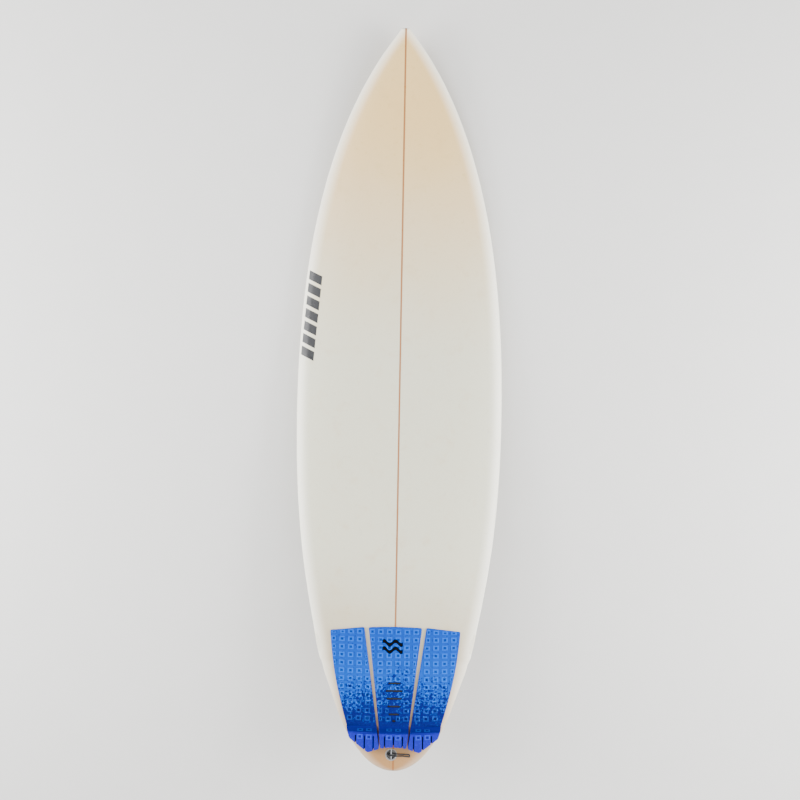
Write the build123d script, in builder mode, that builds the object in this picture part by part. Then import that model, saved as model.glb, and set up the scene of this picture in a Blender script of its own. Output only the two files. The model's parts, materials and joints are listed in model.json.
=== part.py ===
"""Shortboard surfboard with three fins, a three-piece traction pad and a leash plug.

The board is shaped level, deck up and nose forward (+Y), then pitched so that it rests
on its two side fins and its belly. Sizes are in millimetres.
"""
from build123d import *
from math import atan, copysign, cos, degrees, pi, radians, sin, sqrt
import os

os.makedirs("parts", exist_ok=True)

# Blank and shape
board_length = 1778.0        # 5 ft 10 in
board_width = 501.6          # 19 3/4 in
board_thickness = 62.0       # 2 7/16 in
nose_rocker = 127.0
tail_rocker = 60.0
nose_rocker_power = 2.2
tail_rocker_power = 2.3
nose_thickness = 9.0
tail_thickness = 13.0
nose_foil_power = 2.2
tail_foil_power = 2.4
tip_edge = 2.5               # thickness left at the very end of the nose and tail
rail_apex = 0.4              # height of the widest line, as a share of the thickness
deck_shape = (2.4, 1.7)      # superellipse powers across the deck
bottom_shape = (5.0, 2.0)    # superellipse powers across the bottom
section_points = 18
wing_front = 272.0           # from the tail
wing_back = 252.0
solid_tip = 5.0              # length of nose and tail that is resin right through

# Glass, glue and stringer
glass_thickness = 1.0
glue_line = 0.1              # left between pieces that are bonded
stringer_width = 4.0

# Fins
fin_base = 111.0
fin_thickness = 6.6
fin_tip_thickness = 1.5
fin_edge = 0.8
fin_sweep = 135.0
side_fin_depth = 115.0
centre_fin_depth = 113.0
side_fin_from_tail = 280.0   # trailing edge
centre_fin_from_tail = 89.0
side_fin_from_rail = 32.0
fin_cant = 6.0
fin_toe_in = 2.3
root_gap = 0.5               # between a fin's base and the board
tab_length = fin_base        # the tab's ends are flush with the fin's base
tab_thickness = 6.0
tab_depth = 13.0
slot_clearance = 0.15

# Fin boxes and screws
box_margin = 11.5            # box beyond the tab at each end
box_wall = 6.5
box_floor = 4.0
box_length = tab_length + 2 * box_margin
box_width = tab_thickness + 2 * box_wall
box_depth = tab_depth + box_floor
box_corner = 6.0
box_forward = 3.0            # the box reaches further in front, round the screw
screw_radius = 2.0
screw_length = 8.5
screw_clearance = 0.05
screw_tilt = 45.0
screw_tip_depth = 8.0
screw_tip_gap = 0.15
socket_width = 2.0
socket_depth = 2.5

# Leash plug and string
plug_x = -5.0
plug_from_tail = 40.5
cup_radius = 14.5
cup_wall = 2.5
cup_bore = cup_radius - cup_wall
cup_height = 14.0
cup_floor = 3.0
cup_bevel = 1.2
pin_radius = 1.6
pin_inset = 1.0              # the pin stops short of the cup's outside at each end
pin_length = 2 * (cup_radius - pin_inset)
pin_drop = 4.0
string_diameter = 3.0
knot_radius = 3.6

# Traction pad
adhesive_thickness = 0.3
layer_gap = 0.25             # left between the pad's layers
pad_thickness = 4.5
pad_corner = 4.0
pad_front = 348.5            # from the tail
pad_back = 66.0
kick_height = 28.0
kick_rear_height = 23.0
kick_front = 110.0           # from the tail
kick_crest = 98.0
kick_slot = 2.6
kick_slot_front = 93.6
kick_slot_floor = 9.0
kick_slots = (0.0, 21.3, 48.5, 69.8, 91.1)   # either side of the centreline

half_length = board_length / 2
half_width = board_width / 2


def outline_point(along, across):
    """A point of the right rail, from shares of the half length and the half width."""
    return (across * half_width, along * half_length)


# Outline of the right rail: nose, long front curve, wing, tail curve and tail end
nose_end = half_length - solid_tip
tail_end = solid_tip - half_length
with BuildLine() as rail:
    front = Spline(
        (0.0518 * half_width, nose_end),
        outline_point(0.9438, 0.1894),
        outline_point(0.8313, 0.4326),
        outline_point(0.6569, 0.6850),
        outline_point(0.3251, 0.9318),
        outline_point(-0.0304, 1.0),
        outline_point(-0.4376, 0.9083),
        (0.7372 * half_width, wing_front - half_length),
    )
    back = Spline(
        (0.7041 * half_width, wing_back - half_length),
        outline_point(-0.7750, 0.6344),
        outline_point(-0.8875, 0.4761),
        outline_point(-0.9438, 0.3433),
        outline_point(-0.9775, 0.2265),
        (0.1164 * half_width, tail_end),
        tangents=[front % 1, (-1, -0.35)],
    )
    wing = Spline(front @ 1, back @ 0, tangents=[front % 1, back % 0])
    nose = Spline((0.0319 * half_width, half_length), (0.0431 * half_width, half_length - 2), front @ 0)
    tail = Spline(
        back @ 1,
        (0.0797 * half_width, 2 - half_length),
        (0.0319 * half_width, -half_length),
        tangents=[(-1, -0.35), (-1, -0.05)],
    )

front_steps = (0, 0.01, 0.03, 0.055, 0.09, 0.14, 0.2, 0.27, 0.34, 0.42, 0.5, 0.58, 0.66, 0.74, 0.82, 0.9, 0.96, 1)
back_steps = (0, 0.1, 0.22, 0.34, 0.46, 0.58, 0.7, 0.8, 0.88, 0.94, 0.98, 1)
tip_steps = (0, 0.35, 0.7, 1)
nose_stations = [nose @ u for u in tip_steps]
main_stations = [front @ u for u in front_steps] + [wing @ 0.5] + [back @ u for u in back_steps]
tail_stations = [tail @ u for u in tip_steps]


def rocker(y):
    """Height of the keel line at a place along the board."""
    share = abs(y) / half_length
    return nose_rocker * share**nose_rocker_power if y > 0 else tail_rocker * share**tail_rocker_power


def foil(y):
    """Thickness on the centreline before the ends are rounded."""
    share = min(abs(y) / half_length, 1)
    end, power = (nose_thickness, nose_foil_power) if y > 0 else (tail_thickness, tail_foil_power)
    return end + (board_thickness - end) * (1 - share**power)


def rounded_foil(y):
    """Thickness with the nose and tail ends rounded off."""
    full = foil(y)
    into = min((half_length - abs(y)) / (full / 2), 1)
    return max(full * sqrt(max(1 - (1 - into) ** 2, 0)), tip_edge)


def rail_height(y):
    return rocker(y) + rail_apex * foil(y)


def deck_height(x, y, wide):
    """Height of the deck where the board is wide either side of its centreline."""
    across, up = deck_shape
    return rail_height(y) + (1 - rail_apex) * rounded_foil(y) * (1 - (abs(x) / wide) ** across) ** (1 / up)


def bottom_height(x, y, wide):
    across, down = bottom_shape
    return rail_height(y) - rail_apex * rounded_foil(y) * (1 - (abs(x) / wide) ** across) ** (1 / down)


def rail_at(y):
    """Half width of the board at a place between its wing and the ends."""
    curve = front if y > (front @ 1).Y else back
    low, high = 0.0, 1.0
    for _ in range(40):
        middle = (low + high) / 2
        low, high = (middle, high) if (curve @ middle).Y > y else (low, middle)
    return (curve @ low).X


def half_section(wide, y, inset, shape, share, lift=0.0):
    """Points of a deck (share above 0) or bottom (below 0) curve, from rail to rail."""
    reach = wide - inset
    rise = share * rounded_foil(y) - copysign(1, share) * (inset + lift)
    level = rail_height(y) + lift
    points = []
    for step in range(section_points + 1):
        turn = pi * step / section_points
        x = reach * copysign(abs(cos(turn)) ** (2 / shape[0]), cos(turn))
        points.append((x, level + rise * max(sin(turn), 0) ** (2 / shape[1])))
    return points


def spacing(shape, share):
    """Where a section's points fall along its curve, taken from the widest section for them all."""
    points = [Vector(*point) for point in half_section(half_width, 0, 0, shape, share)]
    lengths = [0.0]
    for near, far in zip(points, points[1:]):
        lengths.append(lengths[-1] + (far - near).length)
    return [length / lengths[-1] for length in lengths]


deck_spacing = spacing(deck_shape, 1 - rail_apex)
bottom_spacing = spacing(bottom_shape, -rail_apex)


def half_curve(points, spaced):
    """A smooth curve through a section's points; the sections of a loft all share its spacing."""
    add(Edge.make_spline([Vector(*point) for point in points], parameters=spaced))


# Resting place: the floor touches both side fin tips and the keel line
def fin_plane_level(x, y, side):
    """A fin's plane on the level board: x forward along the bottom, z straight out of it."""
    wide = rail_at(y)
    slope = (bottom_height(x, y + 1, wide) - bottom_height(x, y - 1, wide)) / 2
    forward = Vector(-side * sin(radians(fin_toe_in)), cos(radians(fin_toe_in)), slope).normalized()
    lean = Vector(side * sin(radians(fin_cant)), 0, -cos(radians(fin_cant)))
    out = (lean - forward * lean.dot(forward)).normalized()
    return Plane(origin=(x, y, bottom_height(x, y, wide)), x_dir=forward, z_dir=out)


def fin_edges(reach):
    """Leading and trailing edge of a fin at a share of its depth."""
    leading = fin_base / 2 - fin_sweep * reach**1.9
    trailing = -fin_base / 2 + 22 * reach * (1 - reach) - 25.5 * reach**4
    return leading, trailing


fin_steps = (0.15, 0.3, 0.45, 0.6, 0.72, 0.82, 0.9, 0.96, 0.99)
side_fin_y = side_fin_from_tail + fin_base / 2 - half_length
centre_fin_y = centre_fin_from_tail + fin_base / 2 - half_length
side_fin_x = rail_at(side_fin_y - fin_base / 2) - side_fin_from_rail - fin_base / 2 * sin(radians(fin_toe_in))
tip_share = fin_steps[-1]
fin_tip = fin_plane_level(side_fin_x, side_fin_y, 1).from_local_coords(
    (fin_edges(tip_share)[0], -fin_thickness / 2, tip_share * side_fin_depth)
)
keel = [(half_length * step / 200, rocker(half_length * step / 200)) for step in range(1, 195)]
pitch = degrees(min(atan((z + rail_apex * (foil(y) - rounded_foil(y)) - fin_tip.Z) / (y - fin_tip.Y)) for y, z in keel))


def settled(x, y, z):
    """A level point turned to the resting pitch, before the board is moved to its origin."""
    turn = radians(pitch)
    return y * cos(turn) + z * sin(turn), z * cos(turn) - y * sin(turn)


ends = []
for station in (nose_stations[0], tail_stations[-1]):
    for shape, share in ((deck_shape, 1 - rail_apex), (bottom_shape, -rail_apex)):
        ends += [settled(x, station.Y, z)[0] for x, z in half_section(station.X, station.Y, 0, shape, share)]
floor = settled(*fin_tip)[1]
board = Plane(
    origin=(0, -(min(ends) + max(ends)) / 2, -floor),
    x_dir=(1, 0, 0),
    z_dir=(0, sin(radians(pitch)), cos(radians(pitch))),
)
print("pitch", round(pitch, 5), "origin", [round(value, 4) for value in board.origin])


def on_board(x, y, z):
    """A point given on the level board, where it is at rest."""
    return board.from_local_coords((x, y, z))


def station_plane(y):
    """Upright plane across the board: x to the right, y up."""
    return Plane(origin=on_board(0, y, 0), x_dir=(1, 0, 0), z_dir=-board.y_dir)


def turned(plane):
    """A plane of the level board, where it is at rest."""
    lines = [on_board(*line) - board.origin for line in (plane.x_dir, plane.z_dir)]
    return Plane(origin=on_board(*plane.origin), x_dir=lines[0], z_dir=lines[1])


def section(station, piece, inset, pulled):
    """One closed cross-section: the whole board, its deck or bottom half, or a skin of either."""
    y = station.Y * pulled
    deck = half_section(station.X, y, inset, deck_shape, 1 - rail_apex, 0 if piece == "whole" else glue_line)
    bottom = half_section(station.X, y, inset, bottom_shape, -rail_apex)
    with BuildSketch(station_plane(y)) as cut:
        with BuildLine():
            if piece == "whole":
                half_curve(deck, deck_spacing)
                half_curve(bottom, bottom_spacing)
            elif piece in ("deck", "bottom"):
                curve, spaced = (deck, deck_spacing) if piece == "deck" else (bottom, bottom_spacing)
                half_curve(curve, spaced)
                Line(curve[0], curve[-1])
            else:
                outer, spaced = (deck, deck_spacing) if piece == "deck skin" else (bottom, bottom_spacing)
                shape, share = (deck_shape, 1 - rail_apex) if piece == "deck skin" else (bottom_shape, -rail_apex)
                lift = glue_line if piece == "deck skin" else 0
                inner = half_section(station.X, y, glass_thickness, shape, share, lift)
                half_curve(outer, spaced)
                half_curve(inner, spaced)
                Line(outer[0], inner[0])
                Line(outer[-1], inner[-1])
        make_face()
    return cut.sketch


def hull(inset=0.0, piece="whole", stations=main_stations, pulled=1.0):
    """The board's own shape, shrunk or grown, as a solid."""
    with BuildPart() as shape:
        loft([section(station, piece, inset, pulled) for station in stations])
    return shape.part


whole_board = hull()
foam_inset = glass_thickness + glue_line
foam_pulled = (nose_end - glue_line) / nose_end

# Places of the three fins
fin_places = {
    "left": (-side_fin_x, side_fin_y, -1, side_fin_depth),
    "right": (side_fin_x, side_fin_y, 1, side_fin_depth),
    "centre": (0.0, centre_fin_y, 0, centre_fin_depth),
}


def fin_plane(x, y, side):
    """Where a fin stands on the board at rest; the centre fin has no cant or toe-in."""
    if side:
        return turned(fin_plane_level(x, y, side))
    slope = (bottom_height(x, y + 1, rail_at(y)) - bottom_height(x, y - 1, rail_at(y))) / 2
    forward = Vector(0, 1, slope).normalized()
    out = Vector(0, forward.Z, -forward.Y)
    return turned(Plane(origin=(x, y, bottom_height(x, y, rail_at(y))), x_dir=forward, z_dir=out))


def box_sketch(plane, grow=0.0):
    with BuildSketch(plane) as outline:
        with Locations((box_forward, 0)):
            RectangleRounded(box_length + 2 * grow, box_width + 2 * grow, box_corner + grow)
    return outline.sketch


plug_y = plug_from_tail - half_length
plug_top = deck_height(plug_x, plug_y, rail_at(plug_y))
plug_plane = turned(Plane(origin=(plug_x, plug_y, plug_top), x_dir=(1, 0, 0), z_dir=(0, 0, 1)))
stand_proud = 6.0            # how far rough pieces pass the board's skin before they are trimmed


def pocket(grow):
    """Room for the fin boxes and the leash plug in the pieces round them."""
    with BuildPart() as rooms:
        for x, y, side, _ in fin_places.values():
            plane = fin_plane(x, y, side)
            extrude(box_sketch(plane.offset(stand_proud), grow), amount=-(box_depth + grow + stand_proud))
        with BuildSketch(plug_plane.offset(stand_proud)):
            Circle(cup_radius + grow)
        extrude(amount=-(cup_height + grow + stand_proud))
    return rooms.part


rooms = pocket(glue_line)

# Foam core halves and the stringer between them
board_side = Plane(origin=board.origin, x_dir=board.y_dir, z_dir=(1, 0, 0))


def slab(near, far):
    """Everything between two distances from the board's centre plane."""
    with BuildPart() as space:
        with BuildSketch(board_side.offset(near)):
            Rectangle(2 * board_length, 2 * board_length)
        extrude(amount=far - near)
    return space.part


foam_side = stringer_width / 2 + glue_line
foam_blank = hull(foam_inset, pulled=foam_pulled)
for name, near, far in (
    ("foam_core_left", -board_width, -foam_side),
    ("foam_core_right", foam_side, board_width),
    ("stringer", -stringer_width / 2, stringer_width / 2),
):
    with BuildPart() as core:
        add(foam_blank)
        add(slab(near, far), mode=Mode.INTERSECT)
        add(rooms, mode=Mode.SUBTRACT)
    core.part.label = name
    export_step(core.part, f"parts/{name}.step")

# Glass skins: a lofted shell, closed by solid resin at the nose and tail
for half in ("deck", "bottom"):
    with BuildPart() as laminate:
        add(hull(piece=f"{half} skin"))
        add(hull(piece=half, stations=nose_stations))
        add(hull(piece=half, stations=tail_stations))
        add(rooms, mode=Mode.SUBTRACT)
    laminate.part.label = f"{half}_laminate"
    export_step(laminate.part, f"parts/{half}_laminate.step")


# Fins
def fin_section(plane, side, reach, depth):
    """Foil across a fin: flat inside and curved outside, or curved on both sides in the middle."""
    leading, trailing = fin_edges(reach)
    chord = leading - trailing
    thick = fin_thickness + (fin_tip_thickness - fin_thickness) * reach
    shape = ((0, 0), (0.04, 0.38), (0.12, 0.70), (0.35, 1.0), (0.70, 0.62), (1, fin_edge / thick))
    with BuildSketch(plane.offset(max(reach * depth, root_gap))) as foil_cut:
        with BuildLine():
            if side:
                flat = -side * fin_thickness / 2
                outer = [(leading - chord * back, flat + side * thick * out) for back, out in shape]
                Spline(*outer)
                Line(outer[-1], (trailing, flat))
                Line((trailing, flat), (leading, flat))
            else:
                halves = [[(leading - chord * b, way * thick / 2 * out) for b, out in shape] for way in (1, -1)]
                Spline(*halves[0])
                Spline(*halves[1])
                Line(halves[0][-1], halves[1][-1])
        make_face()
    return foil_cut.sketch


for name, (x, y, side, depth) in fin_places.items():
    plane = fin_plane(x, y, side)
    with BuildPart() as fin:
        loft([fin_section(plane, side, reach, depth) for reach in (0, *fin_steps)])
        with BuildSketch(plane.offset(root_gap)):
            SlotOverall(tab_length, tab_thickness)
        extrude(amount=-(tab_depth + root_gap))
    fin.part.label = f"fin_{name}"
    export_step(fin.part, f"parts/fin_{name}.step")

    # Box sunk in the foam, flush with the bottom glass
    tilt = radians(screw_tilt)
    tip_x = tab_length / 2 + screw_tip_gap + screw_radius * sin(tilt)
    axis = plane.x_dir * sin(tilt) + plane.z_dir * cos(tilt)
    screw_plane = Plane(
        origin=plane.from_local_coords((tip_x, 0, -screw_tip_depth)), x_dir=plane.y_dir, z_dir=axis
    )
    with BuildPart() as fin_box:
        extrude(box_sketch(plane.offset(stand_proud)), amount=-(box_depth + stand_proud))
        add(whole_board, mode=Mode.INTERSECT)
        with BuildSketch(plane.offset(stand_proud)):
            SlotOverall(tab_length + 2 * slot_clearance, tab_thickness + 2 * slot_clearance)
        extrude(amount=-(stand_proud + tab_depth + 2 * slot_clearance), mode=Mode.SUBTRACT)
        with BuildSketch(screw_plane.offset(-screw_clearance)):
            Circle(screw_radius + screw_clearance)
        extrude(amount=2 * screw_length, mode=Mode.SUBTRACT)
    fin_box.part.label = f"fin_box_{name}"
    export_step(fin_box.part, f"parts/fin_box_{name}.step")

    # Grub screw that clamps the fin's tab
    with BuildPart() as screw:
        with BuildSketch(screw_plane):
            Circle(screw_radius)
        extrude(amount=screw_length)
        with BuildSketch(screw_plane.offset(screw_length)):
            RegularPolygon(socket_width / 2, 6, major_radius=False)
        extrude(amount=-socket_depth, mode=Mode.SUBTRACT)
    screw.part.label = f"fin_screw_{name}"
    export_step(screw.part, f"parts/fin_screw_{name}.step")
    print(name, "fin out", plane.z_dir, "screw out", axis, "root", plane.origin)

# Leash plug: cup flush with the deck, and the pin across it
with BuildPart() as leash_cup:
    with BuildSketch(plug_plane.offset(stand_proud)):
        Circle(cup_radius)
    extrude(amount=-(cup_height + stand_proud))
    add(whole_board, mode=Mode.INTERSECT)
    with BuildSketch(plug_plane.offset(cup_floor - cup_height)):
        Circle(cup_bore)
    extrude(amount=cup_height + stand_proud, mode=Mode.SUBTRACT)
    with BuildSketch(plug_plane.offset(-cup_bevel)):
        Circle(cup_bore)
    extrude(amount=2 * cup_bevel, taper=-45, mode=Mode.SUBTRACT)
    pin_plane = Plane(
        origin=plug_plane.from_local_coords((0, -pin_length / 2, -pin_drop)),
        x_dir=plug_plane.x_dir,
        z_dir=plug_plane.y_dir,
    )
    with BuildSketch(pin_plane.offset(-slot_clearance)):
        Circle(pin_radius + screw_clearance)
    extrude(amount=pin_length + 2 * slot_clearance, mode=Mode.SUBTRACT)
leash_cup.part.label = "leash_cup"
export_step(leash_cup.part, "parts/leash_cup.step")

with BuildPart() as leash_pin:
    with BuildSketch(pin_plane):
        Circle(pin_radius)
    extrude(amount=pin_length)
leash_pin.part.label = "leash_pin"
export_step(leash_pin.part, "parts/leash_pin.step")

# Leash string: from the knot, under the pin, over the rim, along the deck and back over the pin
knot_centre = (-6.6, 0.0, -7.0)
string_route = [
    (-3.4, 0.9, -7.4),
    (1.0, 2.0, -7.5),
    (5.6, 2.4, -5.2),
    (8.6, 2.6, 1.2),
    (13.6, 2.9, 2.7),
    (20.0, 3.1, 2.3),
    (28.0, 3.7, 1.9),
    (37.0, 4.6, 1.3),
    (44.6, 4.4, 0.9),
    (45.4, -4.4, 0.9),
    (37.0, -4.2, 1.3),
    (28.0, -3.2, 1.9),
    (20.0, -2.8, 2.3),
    (12.6, -2.6, 2.8),
    (6.0, -2.5, 0.9),
    (0.2, -2.3, -0.1),
    (-3.9, -1.7, -1.7),
    (-5.2, -1.0, -4.4),
]
turns = []
for before, point, after in zip(string_route, string_route[1:], string_route[2:]):
    run_in, run_out = Vector(*point) - Vector(*before), Vector(*after) - Vector(*point)
    half_turn = radians(run_in.get_angle(run_out)) / 2
    turns.append(0.45 * min(run_in.length, run_out.length) / (sin(half_turn) / cos(half_turn)))
print("string radii", [round(radius, 1) for radius in turns])
with BuildLine(plug_plane) as string_path:
    FilletPolyline(*string_route, radius=turns)
print("plug", plug_plane.origin)
string_line = string_path.wire()
with BuildPart() as leash_string:
    with BuildSketch(Plane(origin=string_line @ 0, z_dir=string_line % 0)):
        Circle(string_diameter / 2)
    sweep(path=string_line)
leash_string.part.label = "leash_string"
export_step(leash_string.part, "parts/leash_string.step")
string_volume = string_line.length * pi * (string_diameter / 2) ** 2
print("string length", round(string_line.length, 1), "volume ratio", leash_string.part.volume / string_volume)

with BuildPart() as leash_knot:
    with Locations(Location(plug_plane.from_local_coords(knot_centre))):
        Sphere(knot_radius)
leash_knot.part.label = "leash_knot"
export_step(leash_knot.part, "parts/leash_knot.step")

# Traction pad: adhesive film, foam sheet and kick, in three pieces
adhesive_low = layer_gap
adhesive_high = adhesive_low + adhesive_thickness
sheet_low = adhesive_high + layer_gap
sheet_high = sheet_low + pad_thickness
kick_low = sheet_high + layer_gap


def tail_point(x, from_tail):
    return (x, from_tail - half_length)


def pad_face(piece):
    """Outline of one piece of the pad, seen from above."""
    way = -1 if piece == "left" else 1
    with BuildSketch(board) as outline:
        with BuildLine():
            if piece == "centre":
                Spline(tail_point(-64.5, 346.5), tail_point(0, pad_front), tail_point(64.5, 346.5))
                Line(tail_point(64.5, 346.5), tail_point(31, 63))
                Spline(tail_point(31, 63), tail_point(0, pad_back), tail_point(-31, 63))
                Line(tail_point(-31, 63), tail_point(-64.5, 346.5))
            else:
                outer = [(158, 337), (151, 269), (131, 169), (107, 84)]
                Line(tail_point(way * 75.5, 347), tail_point(way * 158, 337))
                Spline(*[tail_point(way * x, from_tail) for x, from_tail in outer])
                Line(tail_point(way * 107, 84), tail_point(way * 62, 52.5))
                Line(tail_point(way * 62, 52.5), tail_point(way * 34.5, 62))
                Line(tail_point(way * 34.5, 62), tail_point(way * 75.5, 347))
        make_face()
        fillet(outline.vertices(), radius=pad_corner)
    return outline.sketch


def layer(piece, low, high):
    """The part of a pad piece's outline between two heights above the deck."""
    with BuildPart() as sheet:
        extrude(pad_face(piece), amount=board_thickness + tail_rocker + nose_rocker)
        add(domes[high], mode=Mode.INTERSECT)
        add(grown[low], mode=Mode.SUBTRACT)
    return sheet.part


# Vents through the middle piece: distance from the tail and width of each
vents = ((213, 29), (194.5, 41), (176, 37), (157.3, 32), (138.2, 25), (122.3, 8))
vent_height = 4.2
kick_top = kick_low + kick_height
heights = (adhesive_low, adhesive_high, sheet_low, sheet_high, kick_low, kick_top)
grown = {height: hull(-height) for height in heights}
domes = {height: hull(-height, "deck") for height in heights}
crest = deck_height(0, kick_crest - half_length, rail_at(kick_crest - half_length))
rear = deck_height(0, pad_back - half_length, rail_at(pad_back - half_length))

for piece in ("left", "centre", "right"):
    for name, low, high in (
        ("pad_adhesive", adhesive_low, adhesive_high),
        ("pad_sheet", sheet_low, sheet_high),
    ):
        with BuildPart() as film:
            add(layer(piece, low, high))
            if piece == "centre":
                with BuildSketch(board):
                    for from_tail, width in vents:
                        with Locations(tail_point(0, from_tail)):
                            SlotOverall(width, vent_height)
                extrude(amount=2 * board_thickness + tail_rocker, mode=Mode.SUBTRACT)
        film.part.label = f"{name}_{piece}"
        export_step(film.part, f"parts/{name}_{piece}.step")

    # Kick: a block with a hollowed front face, slotted across its crest
    with BuildPart() as kick:
        add(layer(piece, kick_low, kick_top))
        with BuildSketch(board_side.offset(-half_width)) as kick_side:
            with BuildLine():
                toe = (kick_front - half_length, tail_rocker / 4)
                foot = (kick_front - half_length, crest + kick_low)
                brow = (kick_crest - half_length, crest + kick_top)
                hollow = (foot[0] * 0.4 + brow[0] * 0.6, foot[1] * 0.6 + brow[1] * 0.4)
                ThreePointArc(foot, hollow, brow)
                back_top = (-half_length, rear + kick_rear_height)
                back_low = (-half_length, toe[1])
                Polyline(brow, back_top, back_low, toe, foot)
            make_face()
        extrude(amount=board_width, mode=Mode.INTERSECT)
        with BuildSketch(board.offset(rear + kick_slot_floor)):
            for across in kick_slots:
                with Locations(tail_point(across, kick_slot_front / 2), tail_point(-across, kick_slot_front / 2)):
                    SlotOverall(kick_slot_front, kick_slot, rotation=90)
        extrude(amount=2 * kick_height, mode=Mode.SUBTRACT)
    kick.part.label = f"pad_kick_{piece}"
    export_step(kick.part, f"parts/pad_kick_{piece}.step")
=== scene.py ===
"""The looks of a shortboard surfboard: glass, traction pad, fins, leash plug and string, and a stage.

Sizes are in metres. The board is shaped level, nose forward, and then turned to the resting
place that the frame gives. Distances from the tail are measured along the level board.
"""

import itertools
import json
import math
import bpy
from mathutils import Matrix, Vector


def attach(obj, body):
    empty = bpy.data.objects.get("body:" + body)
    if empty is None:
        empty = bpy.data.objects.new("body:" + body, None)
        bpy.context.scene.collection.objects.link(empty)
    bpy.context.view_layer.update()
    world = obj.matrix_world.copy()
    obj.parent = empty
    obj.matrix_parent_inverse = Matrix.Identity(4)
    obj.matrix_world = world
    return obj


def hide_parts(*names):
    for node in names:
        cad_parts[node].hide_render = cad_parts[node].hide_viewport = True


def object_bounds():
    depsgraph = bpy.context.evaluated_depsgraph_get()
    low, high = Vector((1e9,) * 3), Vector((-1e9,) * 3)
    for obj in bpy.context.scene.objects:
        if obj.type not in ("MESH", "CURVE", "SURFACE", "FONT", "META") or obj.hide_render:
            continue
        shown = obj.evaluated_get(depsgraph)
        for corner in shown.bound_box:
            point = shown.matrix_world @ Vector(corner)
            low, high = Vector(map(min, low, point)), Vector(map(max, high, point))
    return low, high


bl_info = {
    "name": "Shortboard Surfboard",
    "version": (1, 0, 0),
    "blender": (4, 5, 0),
    "location": "View3D > Sidebar > Surfboard",
    "description": "Builds the glass skin, traction pad, fins, leash string and stage of a shortboard",
    "category": "Object",
}

import bmesh
import bpy
import numpy as np
from bpy.props import FloatProperty, FloatVectorProperty, PointerProperty
from mathutils import Matrix, Vector
from mathutils.geometry import delaunay_2d_cdt

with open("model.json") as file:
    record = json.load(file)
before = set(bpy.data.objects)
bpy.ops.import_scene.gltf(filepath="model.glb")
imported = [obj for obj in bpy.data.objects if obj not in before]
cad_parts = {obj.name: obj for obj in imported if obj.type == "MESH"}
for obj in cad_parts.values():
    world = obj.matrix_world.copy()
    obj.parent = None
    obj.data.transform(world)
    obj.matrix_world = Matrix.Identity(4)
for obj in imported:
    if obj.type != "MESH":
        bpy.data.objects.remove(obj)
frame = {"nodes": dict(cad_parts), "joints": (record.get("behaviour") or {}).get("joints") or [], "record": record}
cad_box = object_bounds()

FIN_NAMES = ("left", "right", "centre")
PAD_NAMES = ("left", "centre", "right")

# Shape of the board, as powers and shares
NOSE_ROCKER_POWER = 2.2
TAIL_ROCKER_POWER = 2.3
NOSE_FOIL_POWER = 2.2
TAIL_FOIL_POWER = 2.4
RAIL_APEX = 0.4
DECK_SHAPE = (2.4, 1.7)
BOTTOM_SHAPE = (5.0, 2.0)
TIP_EDGE = 0.0025

# Right rail, in shares of half the width and half the length
FRONT_RAIL = (
    (0.1894, 0.9438), (0.4326, 0.8313), (0.6850, 0.6569), (0.9318, 0.3251),
    (1.0, -0.0304), (0.9083, -0.4376),
)
BACK_RAIL = ((0.6344, -0.7750), (0.4761, -0.8875), (0.3433, -0.9438), (0.2265, -0.9775))
WING_FRONT = (0.7372, 0.272)     # share of half the width, and distance from the tail
WING_BACK = (0.7041, 0.252)
SOLID_TIP = 0.005
TIP_BACK = (0, 0.4 * SOLID_TIP, SOLID_TIP)
TIP_WIDTHS = (0.0319, 0.0431, 0.0518)
TAIL_WIDTHS = (0.1164, 0.0797, 0.0319)
TAIL_TURN = (-1.0, -0.35)
TAIL_CLOSE = (-1.0, -0.05)

# Leash plug and its string, in millimetres from the middle of the plug's rim
PLUG_X = -0.005
PLUG_FROM_TAIL = 0.0405
PIN_DROP = 0.004
STRING_ROUTE = (
    (-3.4, 0.9, -7.4), (1.0, 2.0, -7.5), (5.6, 2.4, -5.2), (8.6, 2.6, 1.2), (13.6, 2.7, 2.7),
    (20.0, 2.4, 2.3), (28.0, 1.9, 1.9), (37.0, 1.9, 1.3), (44.6, 1.2, 0.9), (45.2, -4.6, 0.9),
    (37.0, -3.4, 1.3), (28.0, -2.1, 1.9), (20.0, -2.3, 2.3), (12.6, -2.5, 2.8), (6.0, -2.5, 0.9),
    (0.2, -2.3, -0.1), (-3.9, -1.7, -1.7), (-5.2, -1.0, -4.4),
)
KNOT_CENTRE = (-6.6, 0.0, -7.0)

# Vents through the middle of the pad: distance from the tail and width
VENTS = (
    (0.213, 0.029), (0.1945, 0.041), (0.176, 0.037), (0.1573, 0.032), (0.1382, 0.025), (0.1223, 0.008),
)
SLOTS = (0.0, 0.0213, 0.0485, 0.0698, 0.0911)     # of the kick, either side of the middle
KICK_TOP = 0.08     # about how high the kick's top is over the level board's floor
KICK_SEAT = 0.0012     # how far the kick's crest stands over the sheet beyond its own height


def linear(code):
    """A colour's sRGB hex value, as the linear values that Blender works with."""
    shares = [int(code[i:i + 2], 16) / 255 for i in (1, 3, 5)]
    return tuple(s / 12.92 if s <= 0.04045 else ((s + 0.055) / 1.055) ** 2.4 for s in shares)


def size(name, words, default):
    return FloatProperty(name=name, description=words, default=default, unit="LENGTH", precision=4)


def colour(name, words, code):
    return FloatVectorProperty(
        name=name, description=words, default=linear(code), subtype="COLOR", min=0, max=1
    )


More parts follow.
